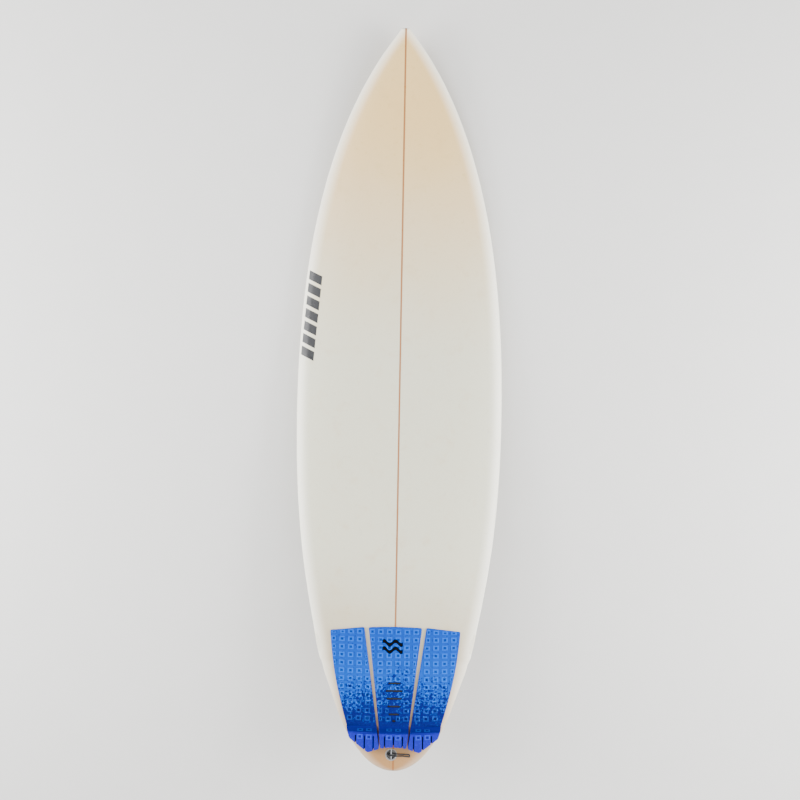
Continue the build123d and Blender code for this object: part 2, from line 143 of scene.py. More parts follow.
class SURFBOARD_PG_board(bpy.types.PropertyGroup):
    """Sizes of the shaped and glassed board."""

    length: size("Length", "Nose to tail along the level board", 1.778)
    width: size("Width", "Rail to rail at the widest place", 0.5016)
    thickness: size("Thickness", "Deck to bottom in the middle", 0.062)
    nose_rocker: size("Nose Rocker", "Rise of the bottom at the nose", 0.127)
    tail_rocker: size("Tail Rocker", "Rise of the bottom at the tail", 0.060)
    nose_thickness: size("Nose Thickness", "Thickness behind the rounded nose", 0.009)
    tail_thickness: size("Tail Thickness", "Thickness before the rounded tail", 0.013)
    glass: size("Glass", "Thickness of the glass skin", 0.0009)
    stringer: size("Stringer", "Width of the wood down the middle", 0.004)
    cup_radius: size("Cup Radius", "Outer radius of the leash plug", 0.0145)
    box_length: size("Box Length", "Fin boxes along the board", 0.134)
    box_width: size("Box Width", "Fin boxes across the board", 0.019)
    box_depth: size("Box Depth", "How far the fin boxes reach into the board", 0.017)
    box_corner: size("Box Corner", "Radius of the fin boxes' corners", 0.006)
    box_forward: size("Box Forward", "How far a fin box's middle lies before its slot's", 0.003)
    string: size("String", "Thickness of the leash string", 0.003)


class SURFBOARD_PG_pad(bpy.types.PropertyGroup):
    """Sizes of the three-piece traction pad."""

    base: size("Base", "Thickness of the adhesive base under the foam", 0.0008)
    foam: size("Foam", "Thickness of the foam sheet", 0.0034)
    bevel: size("Bevel", "Softened edge of the cut foam", 0.0009)
    tile_pitch: size("Tile Pitch", "Spacing of the squares across the board", 0.0214)
    row_pitch: size("Row Pitch", "Spacing of the rows of squares along the board", 0.0190)
    tile_width: size("Tile Width", "Size of a square across the board", 0.0142)
    tile_length: size("Tile Length", "Size of a square along the board", 0.0126)
    tile_height: size("Tile Height", "How far a square stands out of the sheet", 0.0014)
    dimple: size("Dimple", "Depth of the hollow in a square", 0.0008)
    vent: size("Vent", "Height of a vent", 0.0042)
    kick_height: size("Kick Height", "Height of the kick at its crest", 0.028)
    kick_rear: size("Kick Rear Height", "Height of the kick at its back", 0.023)
    kick_front: size("Kick Front", "Where the kick starts, from the tail", 0.110)
    kick_crest: size("Kick Crest", "Where the kick is highest, from the tail", 0.098)
    slot: size("Slot", "Width of the kick's slots", 0.0026)
    slot_front: size("Slot Front", "Where the slots start, from the tail", 0.0936)
    slot_floor: size("Slot Floor", "Height of the slots' floor above the sheet", 0.009)


class SURFBOARD_PG_colours(bpy.types.PropertyGroup):
    """Colours of the board and its pad."""

    nose: colour("Nose", "Glassed foam at the nose", "#DCB97C")
    middle: colour("Middle", "Glassed foam in the middle", "#CECCB6")
    tail: colour("Tail", "Glassed foam at the tail", "#A47A4C")
    # The rail colour stands for the paler lapped glass and a painted highlight along the rails
    rail: colour("Rail", "Overlapped glass along the rails", "#FFFCEE")
    wood: colour("Stringer", "Wood under the glass", "#9A6236")
    marking: colour("Marking", "Printed bars on the left rail", "#06080F")
    pad_front: colour("Pad Front", "Foam at the front of the pad", "#0043AA")
    pad_back: colour("Pad Back", "Foam at the back of the pad", "#0D1058")
    kick: colour("Kick", "Foam of the kick", "#1A1E9A")
    fins: colour("Fins", "Moulded fins", "#1B212B")


# Shape of the board
def board():
    return bpy.context.scene.surfboard_board


def pad():
    return bpy.context.scene.surfboard_pad


def colours():
    return bpy.context.scene.surfboard_colours


def cubic(points, start=None, end=None, steps=60):
    """Points along the smooth curve through the given ones, natural or with set directions at its ends."""
    points = np.array(points, float)
    gaps = np.linalg.norm(np.diff(points, axis=0), axis=1)
    count = len(points)
    system = np.zeros((count, count))
    right = np.zeros((count, 2))
    for i in range(1, count - 1):
        near, far = gaps[i - 1], gaps[i]
        system[i, i - 1:i + 2] = far, 2 * (near + far), near
        right[i] = 3 * (far * (points[i] - points[i - 1]) / near + near * (points[i + 1] - points[i]) / far)
    for row, beside, gap, direction in ((0, 1, gaps[0], start), (-1, -2, gaps[-1], end)):
        system[row, row] = 1 if direction is not None else 2
        if direction is not None:
            right[row] = np.array(direction) / np.linalg.norm(direction)
        else:
            system[row, beside] = 1
            right[row] = 3 * (points[row] - points[beside]) / gap * (1 if row else -1)
    slopes = np.linalg.solve(system, right)
    made = []
    for i, gap in enumerate(gaps):
        t = np.linspace(0, 1, steps, endpoint=i == len(gaps) - 1)[:, None]
        made.append(
            (2 * t**3 - 3 * t**2 + 1) * points[i] + (t**3 - 2 * t**2 + t) * gap * slopes[i]
            + (3 * t**2 - 2 * t**3) * points[i + 1] + (t**3 - t**2) * gap * slopes[i + 1]
        )
    return np.concatenate(made)


def right_rail():
    """Outline of the right rail as places across and along the level board, nose first."""
    half_width, half_length = board().width / 2, board().length / 2
    whole = (half_width, half_length)
    tip = [(share * half_width, half_length - back) for share, back in zip(TIP_WIDTHS, TIP_BACK)]
    wing = [(across * half_width, from_tail - half_length) for across, from_tail in (WING_FRONT, WING_BACK)]
    front = cubic([tip[-1], *(np.array(FRONT_RAIL) * whole), wing[0]])
    heading = front[-1] - front[-2]
    end = [(share * half_width, back - half_length) for share, back in zip(TAIL_WIDTHS, TIP_BACK[::-1])]
    back = cubic([wing[1], *(np.array(BACK_RAIL) * whole), end[0]], heading, TAIL_TURN)
    bump = cubic(wing, heading, heading)
    close = cubic(end, TAIL_TURN, TAIL_CLOSE)
    return np.concatenate([cubic(tip)[:-1], front[:-1], bump[:-1], back[:-1], close])


def rail_at(y):
    """Half the board's width at places along it."""
    rail = right_rail()[::-1]
    return np.interp(y, rail[:, 1], rail[:, 0])


def rocker(y):
    share = np.abs(y) / (board().length / 2)
    nose, tail = board().nose_rocker * share**NOSE_ROCKER_POWER, board().tail_rocker * share**TAIL_ROCKER_POWER
    return np.where(y > 0, nose, tail)


def foil(y):
    """Thickness on the centreline before the ends are rounded."""
    share = np.minimum(np.abs(y) / (board().length / 2), 1)
    nose, tail, full = board().nose_thickness, board().tail_thickness, board().thickness
    return np.where(
        y > 0,
        nose + (full - nose) * (1 - share**NOSE_FOIL_POWER),
        tail + (full - tail) * (1 - share**TAIL_FOIL_POWER),
    )


def rounded_foil(y):
    full = foil(y)
    into = np.clip((board().length / 2 - np.abs(y)) / (full / 2), 0, 1)
    return np.maximum(full * np.sqrt(1 - (1 - into) ** 2), TIP_EDGE)


def rail_height(y):
    return rocker(y) + RAIL_APEX * foil(y)


def bulge(share, shape):
    return np.maximum(1 - np.clip(share, 0, 1) ** shape[0], 0) ** (1 / shape[1])


def deck_at(x, y, lift=0.0):
    """Height of the deck, or of a layer that lies on it with a thickness of lift."""
    rise = (1 - RAIL_APEX) * rounded_foil(y) + lift
    return rail_height(y) + rise * bulge(np.abs(x) / (rail_at(y) + lift), DECK_SHAPE)


def resting_axes():
    """The level board's own axes at rest, as a matrix: the leash pin lies along them."""
    pin = np.array([v.co for v in frame["nodes"]["leash_pin"].data.vertices], float)
    middle = pin.mean(axis=0)
    along = np.linalg.svd(pin - middle)[2][0]
    pitch = math.atan2(-along[2] * math.copysign(1, along[1]), abs(along[1]))
    forward = Vector((0, math.cos(pitch), -math.sin(pitch)))
    up = Vector((0, math.sin(pitch), math.cos(pitch)))
    plug_y = PLUG_FROM_TAIL - board().length / 2
    rim = Vector(middle) + up * PIN_DROP
    origin = rim - Vector((PLUG_X, 0, 0)) - forward * plug_y - up * float(deck_at(PLUG_X, plug_y))
    return Matrix.Translation(origin) @ Matrix(((1, 0, 0), forward, up)).transposed().to_4x4()


def resting(points):
    """Points of the level board, where they are at rest."""
    axes = np.array(resting_axes())
    return np.asarray(points, float) @ axes[:3, :3].T + axes[:3, 3]


def from_tail(distance):
    """Place along the level board at a distance from the tail."""
    return distance - board().length / 2


def resting_y(distance, height=0.05):
    """Where a distance from the tail comes at rest, at a height over the level board's floor."""
    return float(resting([(0, from_tail(distance), height)])[0, 1])


# Mesh and node helpers
def piece(name, mesh):
    made = bpy.data.objects.new(name, mesh)
    bpy.context.scene.collection.objects.link(made)
    return made


def mesh_of(name, points, faces):
    mesh = bpy.data.meshes.new(name)
    mesh.from_pydata([tuple(p) for p in points], [], [tuple(f) for f in faces])
    mesh.validate()
    return mesh


def face_out(mesh):
    """Points a closed mesh's faces outwards."""
    shell = bmesh.new()
    shell.from_mesh(mesh)
    bmesh.ops.recalc_face_normals(shell, faces=shell.faces)
    shell.to_mesh(mesh)
    shell.free()


def smooth(mesh, degrees=35):
    mesh.polygons.foreach_set("use_smooth", [True] * len(mesh.polygons))
    mesh.set_sharp_from_angle(angle=math.radians(degrees))


def applied(obj):
    """Turns a piece's modifiers into its plain mesh."""
    bpy.context.view_layer.update()
    evaluated = obj.evaluated_get(bpy.context.evaluated_depsgraph_get())
    old = obj.data
    mesh = bpy.data.meshes.new_from_object(evaluated)
    obj.modifiers.clear()
    obj.data = mesh
    bpy.data.meshes.remove(old)
    return obj


def feed(tree, made, links):
    """Gives a node's inputs their values, or links them to other nodes or to their outputs."""
    for key, value in links.items():
        socket = made.inputs[key]
        if isinstance(value, bpy.types.Node):
            value = next(output for output in value.outputs if output.enabled)
        if isinstance(value, bpy.types.NodeSocket):
            tree.links.new(value, socket)
        elif socket.type == "RGBA":
            socket.default_value = (*value, 1)
        else:
            socket.default_value = value


def node(tree, kind, links=None, **settings):
    """Adds a node with its settings and links."""
    made = tree.nodes.new(kind)
    for key, value in settings.items():
        setattr(made, key, value)
    feed(tree, made, links or {})
    return made


def new_material(name, **constants):
    """A material with one shader, whose sockets take the given values, and the piece's own coordinates."""
    made = bpy.data.materials.new(name)
    made.use_nodes = True
    tree = made.node_tree
    shader = tree.nodes["Principled BSDF"]
    for key, value in constants.items():
        shader.inputs[key.replace("_", " ")].default_value = value
    return made, tree, shader, node(tree, "ShaderNodeTexCoord").outputs["Object"]


def put_material(obj, made):
    obj.data.materials.clear()
    obj.data.materials.append(made)


def finish_node(name, made):
    """Gives a carried-over node its material, without touching its mesh."""
    obj = frame["nodes"][name]
    if not obj.material_slots:
        raise RuntimeError(f"{name} has no material slot")
    for place in obj.material_slots:
        place.link = "OBJECT"
        place.material = made


# Materials
def glass_material():
    """Polyester resin over glass cloth and foam: clear gloss over a cream foam, browned at the ends."""
    made, tree, shader, place = new_material(
        "Gloss_coated_fibreglass", Roughness=0.36, IOR=1.5, Specular_IOR_Level=0.3,
        Coat_Weight=0.12, Coat_Roughness=0.08, Coat_IOR=1.5,
    )
    tone = colours()
    axes = node(tree, "ShaderNodeSeparateXYZ", {0: place})
    x, y = axes.outputs[0], axes.outputs[1]
    # Age has browned the foam towards both ends, along a border that wanders
    wander = 0.15
    patch = node(tree, "ShaderNodeTexNoise", {"Vector": place, "Scale": 1 / 0.22, "Detail": 3})
    along = node(tree, "ShaderNodeMath", {0: patch, 1: wander, 2: y}, operation="MULTIPLY_ADD")
    surface = tone.middle
    for start, end, brown in ((0.95, 1.62, tone.nose), (0.55, -0.02, tone.tail)):
        low, high = resting_y(start) + wander / 2, resting_y(end) + wander / 2
        browned = node(
            tree, "ShaderNodeMapRange", {"Value": along, "From Min": low, "From Max": high},
            interpolation_type="SMOOTHSTEP",
        )
        surface = node(tree, "ShaderNodeMix", {0: browned, 6: surface, 7: brown}, data_type="RGBA")
    # Brown bruises and sun stains, a few centimetres across
    blotch = node(
        tree, "ShaderNodeTexNoise", {"Vector": place, "Scale": 1 / 0.035, "Detail": 4, "Roughness": 0.6}
    )
    stain = node(
        tree, "ShaderNodeMapRange", {"Value": blotch, "From Min": 0.52, "From Max": 0.80, "To Max": 0.22},
        interpolation_type="SMOOTHSTEP",
    )
    surface = node(tree, "ShaderNodeMix", {0: stain, 6: surface, 7: linear("#C2A26C")}, data_type="RGBA")
    # Doubled cloth along the rails reads paler, and a painted highlight along the rails brightens them further
    edge = node(tree, "ShaderNodeAttribute", attribute_name="rail").outputs["Fac"]
    pale = node(tree, "ShaderNodeMath", {0: edge, 1: 0.95}, operation="MULTIPLY")
    surface = node(tree, "ShaderNodeMix", {0: pale, 6: surface, 7: tone.rail}, data_type="RGBA")
    # Wood of the stringer, seen through the glass, with its grain running along the board
    half = board().stringer / 2
    stretched = node(tree, "ShaderNodeMapping", {"Vector": place, "Scale": (1, 0.04, 1)})
    grain = node(tree, "ShaderNodeTexNoise", {"Vector": stretched, "Scale": 1 / 0.0012, "Detail": 3})
    wood = node(tree, "ShaderNodeMix", {0: grain, 6: tone.wood, 7: linear("#8A5A33")}, data_type="RGBA")
    off_line = node(tree, "ShaderNodeMath", {0: x}, operation="ABSOLUTE")
    on_line = node(
        tree, "ShaderNodeMapRange",
        {
            "Value": off_line, "From Min": half - 0.0003, "From Max": half + 0.0006,
            "To Min": 0.95, "To Max": 0,
        },
        interpolation_type="SMOOTHSTEP",
    )
    surface = node(tree, "ShaderNodeMix", {0: on_line, 6: surface, 7: wood}, data_type="RGBA")
    bars = rail_bars(tree, x, y)
    surface = node(tree, "ShaderNodeMix", {0: bars, 6: surface, 7: tone.marking}, data_type="RGBA")
    # Cloth threads, drawn as coarse as they need to show
    thread = 0.0016
    threads = [
        node(
            tree, "ShaderNodeTexWave", {"Vector": place, "Scale": 1 / thread / math.tau, "Distortion": 0.6},
            bands_direction=way, wave_profile="SIN",
        ).outputs["Fac"]
        for way in ("X", "Y")
    ]
    weave = node(tree, "ShaderNodeMath", dict(enumerate(threads)), operation="MULTIPLY")
    wave = node(tree, "ShaderNodeTexNoise", {"Vector": place, "Scale": 1 / 0.06})
    height = node(tree, "ShaderNodeMath", {0: weave, 1: 0.06, 2: wave}, operation="MULTIPLY_ADD")
    bump = node(tree, "ShaderNodeBump", {"Strength": 0.10, "Distance": 0.0012, "Height": height})
    scuffs = node(
        tree, "ShaderNodeTexNoise", {"Vector": place, "Scale": 1 / 0.012, "Detail": 5, "Roughness": 0.65}
    )
    rough = node(
        tree, "ShaderNodeMapRange",
        {"Value": scuffs, "From Min": 0.3, "From Max": 0.75, "To Min": 0.26, "To Max": 0.42},
        interpolation_type="SMOOTHSTEP",
    )
    feed(tree, shader, {"Base Color": surface, "Roughness": rough, "Normal": bump})
    return made


def rail_bars(tree, x, y):
    """Mask of a row of plain slanted bars printed along the left rail, on the deck's side."""
    start, end = resting_y(0.996), resting_y(1.208)
    pitch, bar, half_width, slant = 0.0306, 0.72, 0.0165, 0.45
    # The printed row follows the rail as it bends towards the nose
    line, bend = -0.2275, 0.092
    middle = node(tree, "ShaderNodeMath", {0: y, 1: bend, 2: line - bend * start}, operation="MULTIPLY_ADD")
    across = node(tree, "ShaderNodeMath", {0: x, 1: middle}, operation="SUBTRACT")
    slanted = node(tree, "ShaderNodeMath", {0: across, 1: slant, 2: y}, operation="MULTIPLY_ADD")
    turn = node(
        tree, "ShaderNodeMath", {0: slanted, 1: 1 / pitch, 2: -start / pitch}, operation="MULTIPLY_ADD"
    )
    part = node(tree, "ShaderNodeMath", {0: turn}, operation="FRACT")
    off_row = node(tree, "ShaderNodeMath", {0: across}, operation="ABSOLUTE")
    shape = node(tree, "ShaderNodeAttribute", attribute_name="marking").outputs["Fac"]
    for value, test, limit in (
        (off_row, "LESS_THAN", half_width), (slanted, "GREATER_THAN", start), (slanted, "LESS_THAN", end),
        (part, "LESS_THAN", bar),
    ):
        passed = node(tree, "ShaderNodeMath", {0: value, 1: limit}, operation=test)
        shape = node(tree, "ShaderNodeMath", {0: shape, 1: passed}, operation="MULTIPLY")
    return shape


def foam_material(name, on_kick):
    """EVA foam, moulded and cut: matt closed cells, its colour broken into small square specks."""
    made, tree, shader, place = new_material(name, Roughness=0.72, IOR=1.47, Specular_IOR_Level=0.05)
    axes = node(tree, "ShaderNodeSeparateXYZ", {0: place})
    x, y = axes.outputs[0], axes.outputs[1]
    speck = 0.0034
    cell = node(
        tree, "ShaderNodeTexVoronoi", {"Vector": place, "Scale": 1 / speck, "Randomness": 0.75},
        feature="F1", distance="CHEBYCHEV",
    )
    luck = node(tree, "ShaderNodeSeparateColor", {0: cell.outputs["Color"]}).outputs[0]
    foam = kick_colour(tree, y, luck) if on_kick else sheet_colour(tree, place, x, y, luck)
    # Painted highlight makes the squares' raised rims paler, and painted shade darkens their hollows
    worn, hollow, cut = (
        node(tree, "ShaderNodeAttribute", attribute_name=mark).outputs["Fac"]
        for mark in ("worn", "hollow", "cut")
    )
    lift = node(tree, "ShaderNodeMath", {0: worn, 1: 0.45, 2: 0.92}, operation="MULTIPLY_ADD")
    lift = node(tree, "ShaderNodeMath", {0: hollow, 1: -0.38, 2: lift}, operation="MULTIPLY_ADD")
    foam = node(tree, "ShaderNodeVectorMath", {0: foam, "Scale": lift}, operation="SCALE")
    # Painted highlight: the rims are also tinted towards azure
    rim_highlight_tint = node(tree, "ShaderNodeMath", {0: worn, 1: 0.08}, operation="MULTIPLY")
    foam = node(tree, "ShaderNodeMix", {0: rim_highlight_tint, 6: foam, 7: linear("#2890F0")}, data_type="RGBA")
    if on_kick:
        slots = slot_mask(tree, x, y)
        cut = node(tree, "ShaderNodeMath", {0: cut, 1: slots}, operation="MAXIMUM")
    # Painted shade: the cut walls of the vents and the kick's slots are darkened nearly to black
    cut_wall_shade = node(tree, "ShaderNodeMath", {0: cut, 1: 0.96}, operation="MULTIPLY")
    foam = node(tree, "ShaderNodeMix", {0: cut_wall_shade, 6: foam, 7: linear("#07070A")}, data_type="RGBA")
    if not on_kick:
        mark = wave_mark(tree, x, y)
        foam = node(tree, "ShaderNodeMix", {0: mark, 6: foam, 7: linear("#040509")}, data_type="RGBA")
    # Closed cells, drawn as coarse as they need to show, and the mould's coarser grain
    cells = node(tree, "ShaderNodeTexVoronoi", {"Vector": place, "Scale": 1 / 0.0009}, feature="F1")
    mould = node(tree, "ShaderNodeTexNoise", {"Vector": place, "Scale": 1 / 0.003, "Detail": 3})
    height = node(tree, "ShaderNodeMath", {0: mould, 1: 0.8, 2: cells}, operation="MULTIPLY_ADD")
    bump = node(tree, "ShaderNodeBump", {"Strength": 0.35, "Distance": 0.0005, "Height": height})
    feed(tree, shader, {"Base Color": foam, "Normal": bump})
    return made


def sheet_colour(tree, place, x, y, luck):
    """Azure at the front, which breaks into deep blue towards the tail, speck by speck."""
    tone = colours()
    wander, sideways, blur = 0.11, 0.20, 0.16
    drift = node(tree, "ShaderNodeTexNoise", {"Vector": place, "Scale": 1 / 0.045, "Detail": 3})
    along = node(tree, "ShaderNodeMath", {0: drift, 1: wander, 2: y}, operation="MULTIPLY_ADD")
    off_line = node(tree, "ShaderNodeMath", {0: x}, operation="ABSOLUTE")
    along = node(tree, "ShaderNodeMath", {0: off_line, 1: sideways, 2: along}, operation="MULTIPLY_ADD")
    low, high = resting_y(0.130) + wander / 2, resting_y(0.276) + wander / 2
    share = node(
        tree, "ShaderNodeMapRange", {"Value": along, "From Min": low, "From Max": high},
        interpolation_type="SMOOTHSTEP",
    )
    ahead = node(tree, "ShaderNodeMath", {0: share, 1: luck}, operation="SUBTRACT")
    shade = node(
        tree, "ShaderNodeTexNoise", {"Vector": place, "Scale": 1 / 0.004, "Detail": 4, "Roughness": 0.7}
    )
    shares = [
        node(
            tree, "ShaderNodeMapRange", {"Value": value, "From Min": start, "From Max": end},
            interpolation_type="SMOOTHSTEP",
        )
        for value, start, end in (
            (shade, 0.35, 0.75), (shade, 0.45, 0.75), (y, resting_y(0.335), resting_y(0.20)),
            (ahead, -blur, blur),
        )
    ]
    deep = node(
        tree, "ShaderNodeMix", {0: shares[0], 6: tone.pad_back, 7: linear("#0A207E")}, data_type="RGBA"
    )
    light = node(
        tree, "ShaderNodeMix", {0: shares[1], 6: tone.pad_front, 7: linear("#004FB4")}, data_type="RGBA"
    )
    azure = node(tree, "ShaderNodeMix", {0: shares[2], 6: light, 7: linear("#004CB2")}, data_type="RGBA")
    return node(tree, "ShaderNodeMix", {0: shares[3], 6: deep, 7: azure}, data_type="RGBA")


def kick_colour(tree, y, luck):
    """Violet blue with paler specks, and darker where the hollow front face lies in its own shade."""
    specks = node(
        tree, "ShaderNodeMapRange", {"Value": luck, "From Min": 0.55, "From Max": 0.95, "To Max": 0.45},
        interpolation_type="SMOOTHSTEP",
    )
    foam = node(
        tree, "ShaderNodeMix", {0: specks, 6: colours().kick, 7: linear("#222CB8")}, data_type="RGBA"
    )
    low, high = resting_y(0.0985, KICK_TOP), resting_y(0.1025, KICK_TOP)
    shaded = node(
        tree, "ShaderNodeMapRange", {"Value": y, "From Min": low, "From Max": high, "To Max": 0.8},
        interpolation_type="SMOOTHSTEP",
    )
    return node(tree, "ShaderNodeMix", {0: shaded, 6: foam, 7: linear("#030F52")}, data_type="RGBA")


def slot_mask(tree, x, y):
    """Mask of the kick's slots, whose cut walls get painted shade."""
    slots = 0.0
    half = pad().slot / 2 + 0.0003
    for place in slot_places():
        in_slot = node(tree, "ShaderNodeMath", {0: x, 1: place, 2: half}, operation="COMPARE")
        slots = node(tree, "ShaderNodeMath", {0: slots, 1: in_slot}, operation="MAXIMUM")
    front = resting_y(pad().slot_front, KICK_TOP)
    behind = node(tree, "ShaderNodeMath", {0: y, 1: front}, operation="LESS_THAN")
    return node(tree, "ShaderNodeMath", {0: slots, 1: behind}, operation="MULTIPLY")


def wave_mark(tree, x, y):
    """Mask of two plain wavy bars printed across the front of the pad's middle piece."""
    centre_x, centre_y, reach = -0.006, resting_y(0.304), 0.025
    ripple, turns, apart, half_bar = 0.0045, math.tau / 0.028, 0.0085, 0.0048
    turn = node(tree, "ShaderNodeMath", {0: x, 1: turns, 2: -centre_x * turns}, operation="MULTIPLY_ADD")
    swell = node(tree, "ShaderNodeMath", {0: turn}, operation="SINE")
    level = node(tree, "ShaderNodeMath", {0: swell, 1: -ripple, 2: y}, operation="MULTIPLY_ADD")
    over = node(tree, "ShaderNodeMath", {0: level, 1: centre_y}, operation="SUBTRACT")
    off = node(tree, "ShaderNodeMath", {0: over}, operation="ABSOLUTE")
    bars = node(tree, "ShaderNodeMath", {0: off, 1: apart, 2: half_bar}, operation="COMPARE")
    inside_mark = node(tree, "ShaderNodeMath", {0: x, 1: centre_x, 2: reach}, operation="COMPARE")
    return node(tree, "ShaderNodeMath", {0: inside_mark, 1: bars}, operation="MULTIPLY")


def plain_material(name, code, grain, strength, variation=0.12, **constants):
    """A moulded, cut or machined finish: one colour with a fine mottle and a grain that breaks its gloss."""
    made, tree, shader, place = new_material(name, **constants)
    base = linear(code)
    darker = tuple(value * (1 - variation) for value in base)
    mottle = node(tree, "ShaderNodeTexNoise", {"Vector": place, "Scale": 1 / (grain * 4), "Detail": 3})
    surface = node(tree, "ShaderNodeMix", {0: mottle, 6: darker, 7: base}, data_type="RGBA")
    height = node(
        tree, "ShaderNodeTexNoise", {"Vector": place, "Scale": 1 / grain, "Detail": 4, "Roughness": 0.65}
    )
    bump = node(tree, "ShaderNodeBump", {"Strength": strength, "Distance": grain * 0.4, "Height": height})
    feed(tree, shader, {"Base Color": surface, "Normal": bump})
    return made


def fin_material():
    """Moulded glass-filled nylon fin: dark, satin, with a faint flow of fibres along it."""
    made, tree, shader, place = new_material(
        "Moulded_composite_fin", Roughness=0.34, IOR=1.53, Coat_Weight=0.25
    )
    stretched = node(tree, "ShaderNodeMapping", {"Vector": place, "Scale": (1, 0.2, 0.35)})
    fibres = node(
        tree, "ShaderNodeTexNoise",
        {"Vector": stretched, "Scale": 1 / 0.0025, "Detail": 5, "Roughness": 0.7},
    )
    streaks = node(
        tree, "ShaderNodeMapRange", {"Value": fibres, "From Min": 0.35, "From Max": 0.75},
        interpolation_type="SMOOTHSTEP",
    )
    surface = node(
        tree, "ShaderNodeMix", {0: streaks, 6: colours().fins, 7: linear("#323B4A")}, data_type="RGBA"
    )
    rough = node(
        tree, "ShaderNodeMapRange",
        {"Value": fibres, "From Min": 0.2, "From Max": 0.9, "To Min": 0.28, "To Max": 0.46},
        interpolation_type="SMOOTHSTEP",
    )
    grain = node(tree, "ShaderNodeTexNoise", {"Vector": place, "Scale": 1 / 0.0007, "Detail": 3})
    bump = node(tree, "ShaderNodeBump", {"Strength": 0.12, "Distance": 0.0003, "Height": grain})
    feed(tree, shader, {"Base Color": surface, "Roughness": rough, "Normal": bump})
    return made


def wood_material():
    """Planed basswood: pale brown with long fine grain."""
    made, tree, shader, place = new_material("Planed_basswood", Roughness=0.6)
    stretched = node(tree, "ShaderNodeMapping", {"Vector": place, "Scale": (1, 0.03, 1)})
    grain = node(
        tree, "ShaderNodeTexNoise",
        {"Vector": stretched, "Scale": 1 / 0.0015, "Detail": 4, "Roughness": 0.6},
    )
    surface = node(
        tree, "ShaderNodeMix", {0: grain, 6: colours().wood, 7: linear("#96683F")}, data_type="RGBA"
    )
    bump = node(tree, "ShaderNodeBump", {"Strength": 0.3, "Distance": 0.0003, "Height": grain})
    feed(tree, shader, {"Base Color": surface, "Normal": bump})
    return made


def steel_material():
    """Machined stainless steel: bright, with fine turning marks."""
    made, tree, shader, place = new_material("Machined_stainless_steel", Metallic=1.0, Roughness=0.28)
    mottle = node(tree, "ShaderNodeTexNoise", {"Vector": place, "Scale": 1 / 0.0008, "Detail": 3})
    dull, bright = linear("#B9BBBE"), linear("#D4D6D8")
    surface = node(tree, "ShaderNodeMix", {0: mottle, 6: dull, 7: bright}, data_type="RGBA")
    marks = node(tree, "ShaderNodeTexNoise", {"Vector": place, "Scale": 1 / 0.0003})
    bump = node(tree, "ShaderNodeBump", {"Strength": 0.15, "Distance": 0.0001, "Height": marks})
    feed(tree, shader, {"Base Color": surface, "Normal": bump})
    return made


def braid_material():
    """Braided polyester cord: near black, its plaited strands catching the light in small diamonds."""
    made, tree, shader, place = new_material(
        "Braided_polyester_cord", Roughness=0.6, Sheen_Weight=0.1, Sheen_Roughness=0.4
    )
    plait = 0.0011
    strands = []
    for turn in ((1, 1, 1), (-1, 1, 1)):
        turned = node(tree, "ShaderNodeMapping", {"Vector": place, "Scale": turn})
        strands.append(node(
            tree, "ShaderNodeTexWave", {"Vector": turned, "Scale": 1 / plait / math.tau},
            bands_direction="DIAGONAL", wave_profile="SIN",
        ).outputs["Fac"])
    plaited = node(tree, "ShaderNodeMath", dict(enumerate(strands)), operation="MAXIMUM")
    dark, light = linear("#050608"), linear("#1A1C21")
    surface = node(tree, "ShaderNodeMix", {0: plaited, 6: dark, 7: light}, data_type="RGBA")
    bump = node(tree, "ShaderNodeBump", {"Strength": 0.7, "Distance": 0.0004, "Height": plaited})
    feed(tree, shader, {"Base Color": surface, "Normal": bump})
    return made


# Outlines on the level board
def corners_rounded(outline, reach):
    """A closed outline whose sharp corners are rounded off from a reach before them to a reach after."""
    outline = np.array(outline, float)
    before = outline - np.roll(outline, 1, axis=0)
    after = np.roll(outline, -1, axis=0) - outline
    turn = np.arctan2(before[:, 0] * after[:, 1] - before[:, 1] * after[:, 0], (before * after).sum(axis=1))
    steps = np.linalg.norm(after, axis=1)
    at = np.concatenate(([0], np.cumsum(steps)))
    total = at[-1]
    ring = np.vstack((outline, outline[:1]))

    def along(s):
        return np.array([np.interp(s % total, at, ring[:, axis]) for axis in (0, 1)])

    sharp = [i for i in range(len(outline)) if abs(turn[i]) > math.radians(18)]
    made = []
    for i, point in enumerate(outline):
        if i in sharp:
            start, end = along(at[i] - reach), along(at[i] + reach)
            made += [(1 - t) ** 2 * start + 2 * t * (1 - t) * point + t**2 * end for t in np.linspace(0, 1, 7)]
        elif all(min(abs(at[i] - at[j]), total - abs(at[i] - at[j])) > reach for j in sharp):
            made.append(point)
    return np.array(made)


def evenly(outline, step):
    """A closed outline with extra points on its long runs."""
    made = []
    for near, far in zip(outline, np.roll(outline, -1, axis=0)):
        count = max(1, round(float(np.linalg.norm(far - near)) / step))
        made += [near + (far - near) * i / count for i in range(count)]
    return np.array(made)


def inwards(loop, distance):
    """A closed loop moved to its left."""
    run = np.roll(loop, -1, axis=0) - np.roll(loop, 1, axis=0)
    run /= np.linalg.norm(run, axis=1)[:, None]
    return loop + distance * np.stack((-run[:, 1], run[:, 0]), axis=1)


def wound(loop, left):
    """A loop that turns left, or right."""
    loop = np.array(loop, float)
    area = (loop[:, 0] * np.roll(loop[:, 1], -1) - np.roll(loop[:, 0], -1) * loop[:, 1]).sum()
    return loop if (area > 0) == left else loop[::-1]


def inside(loop, points):
    """Which points lie inside a closed loop."""
    points = np.asarray(points, float)
    hit = np.zeros(len(points), bool)
    for (x0, y0), (x1, y1) in zip(loop, np.roll(loop, -1, axis=0)):
        if y0 != y1:
            crosses = (y0 > points[:, 1]) != (y1 > points[:, 1])
            hit ^= crosses & (points[:, 0] < (x1 - x0) * (points[:, 1] - y0) / (y1 - y0) + x0)
    return hit


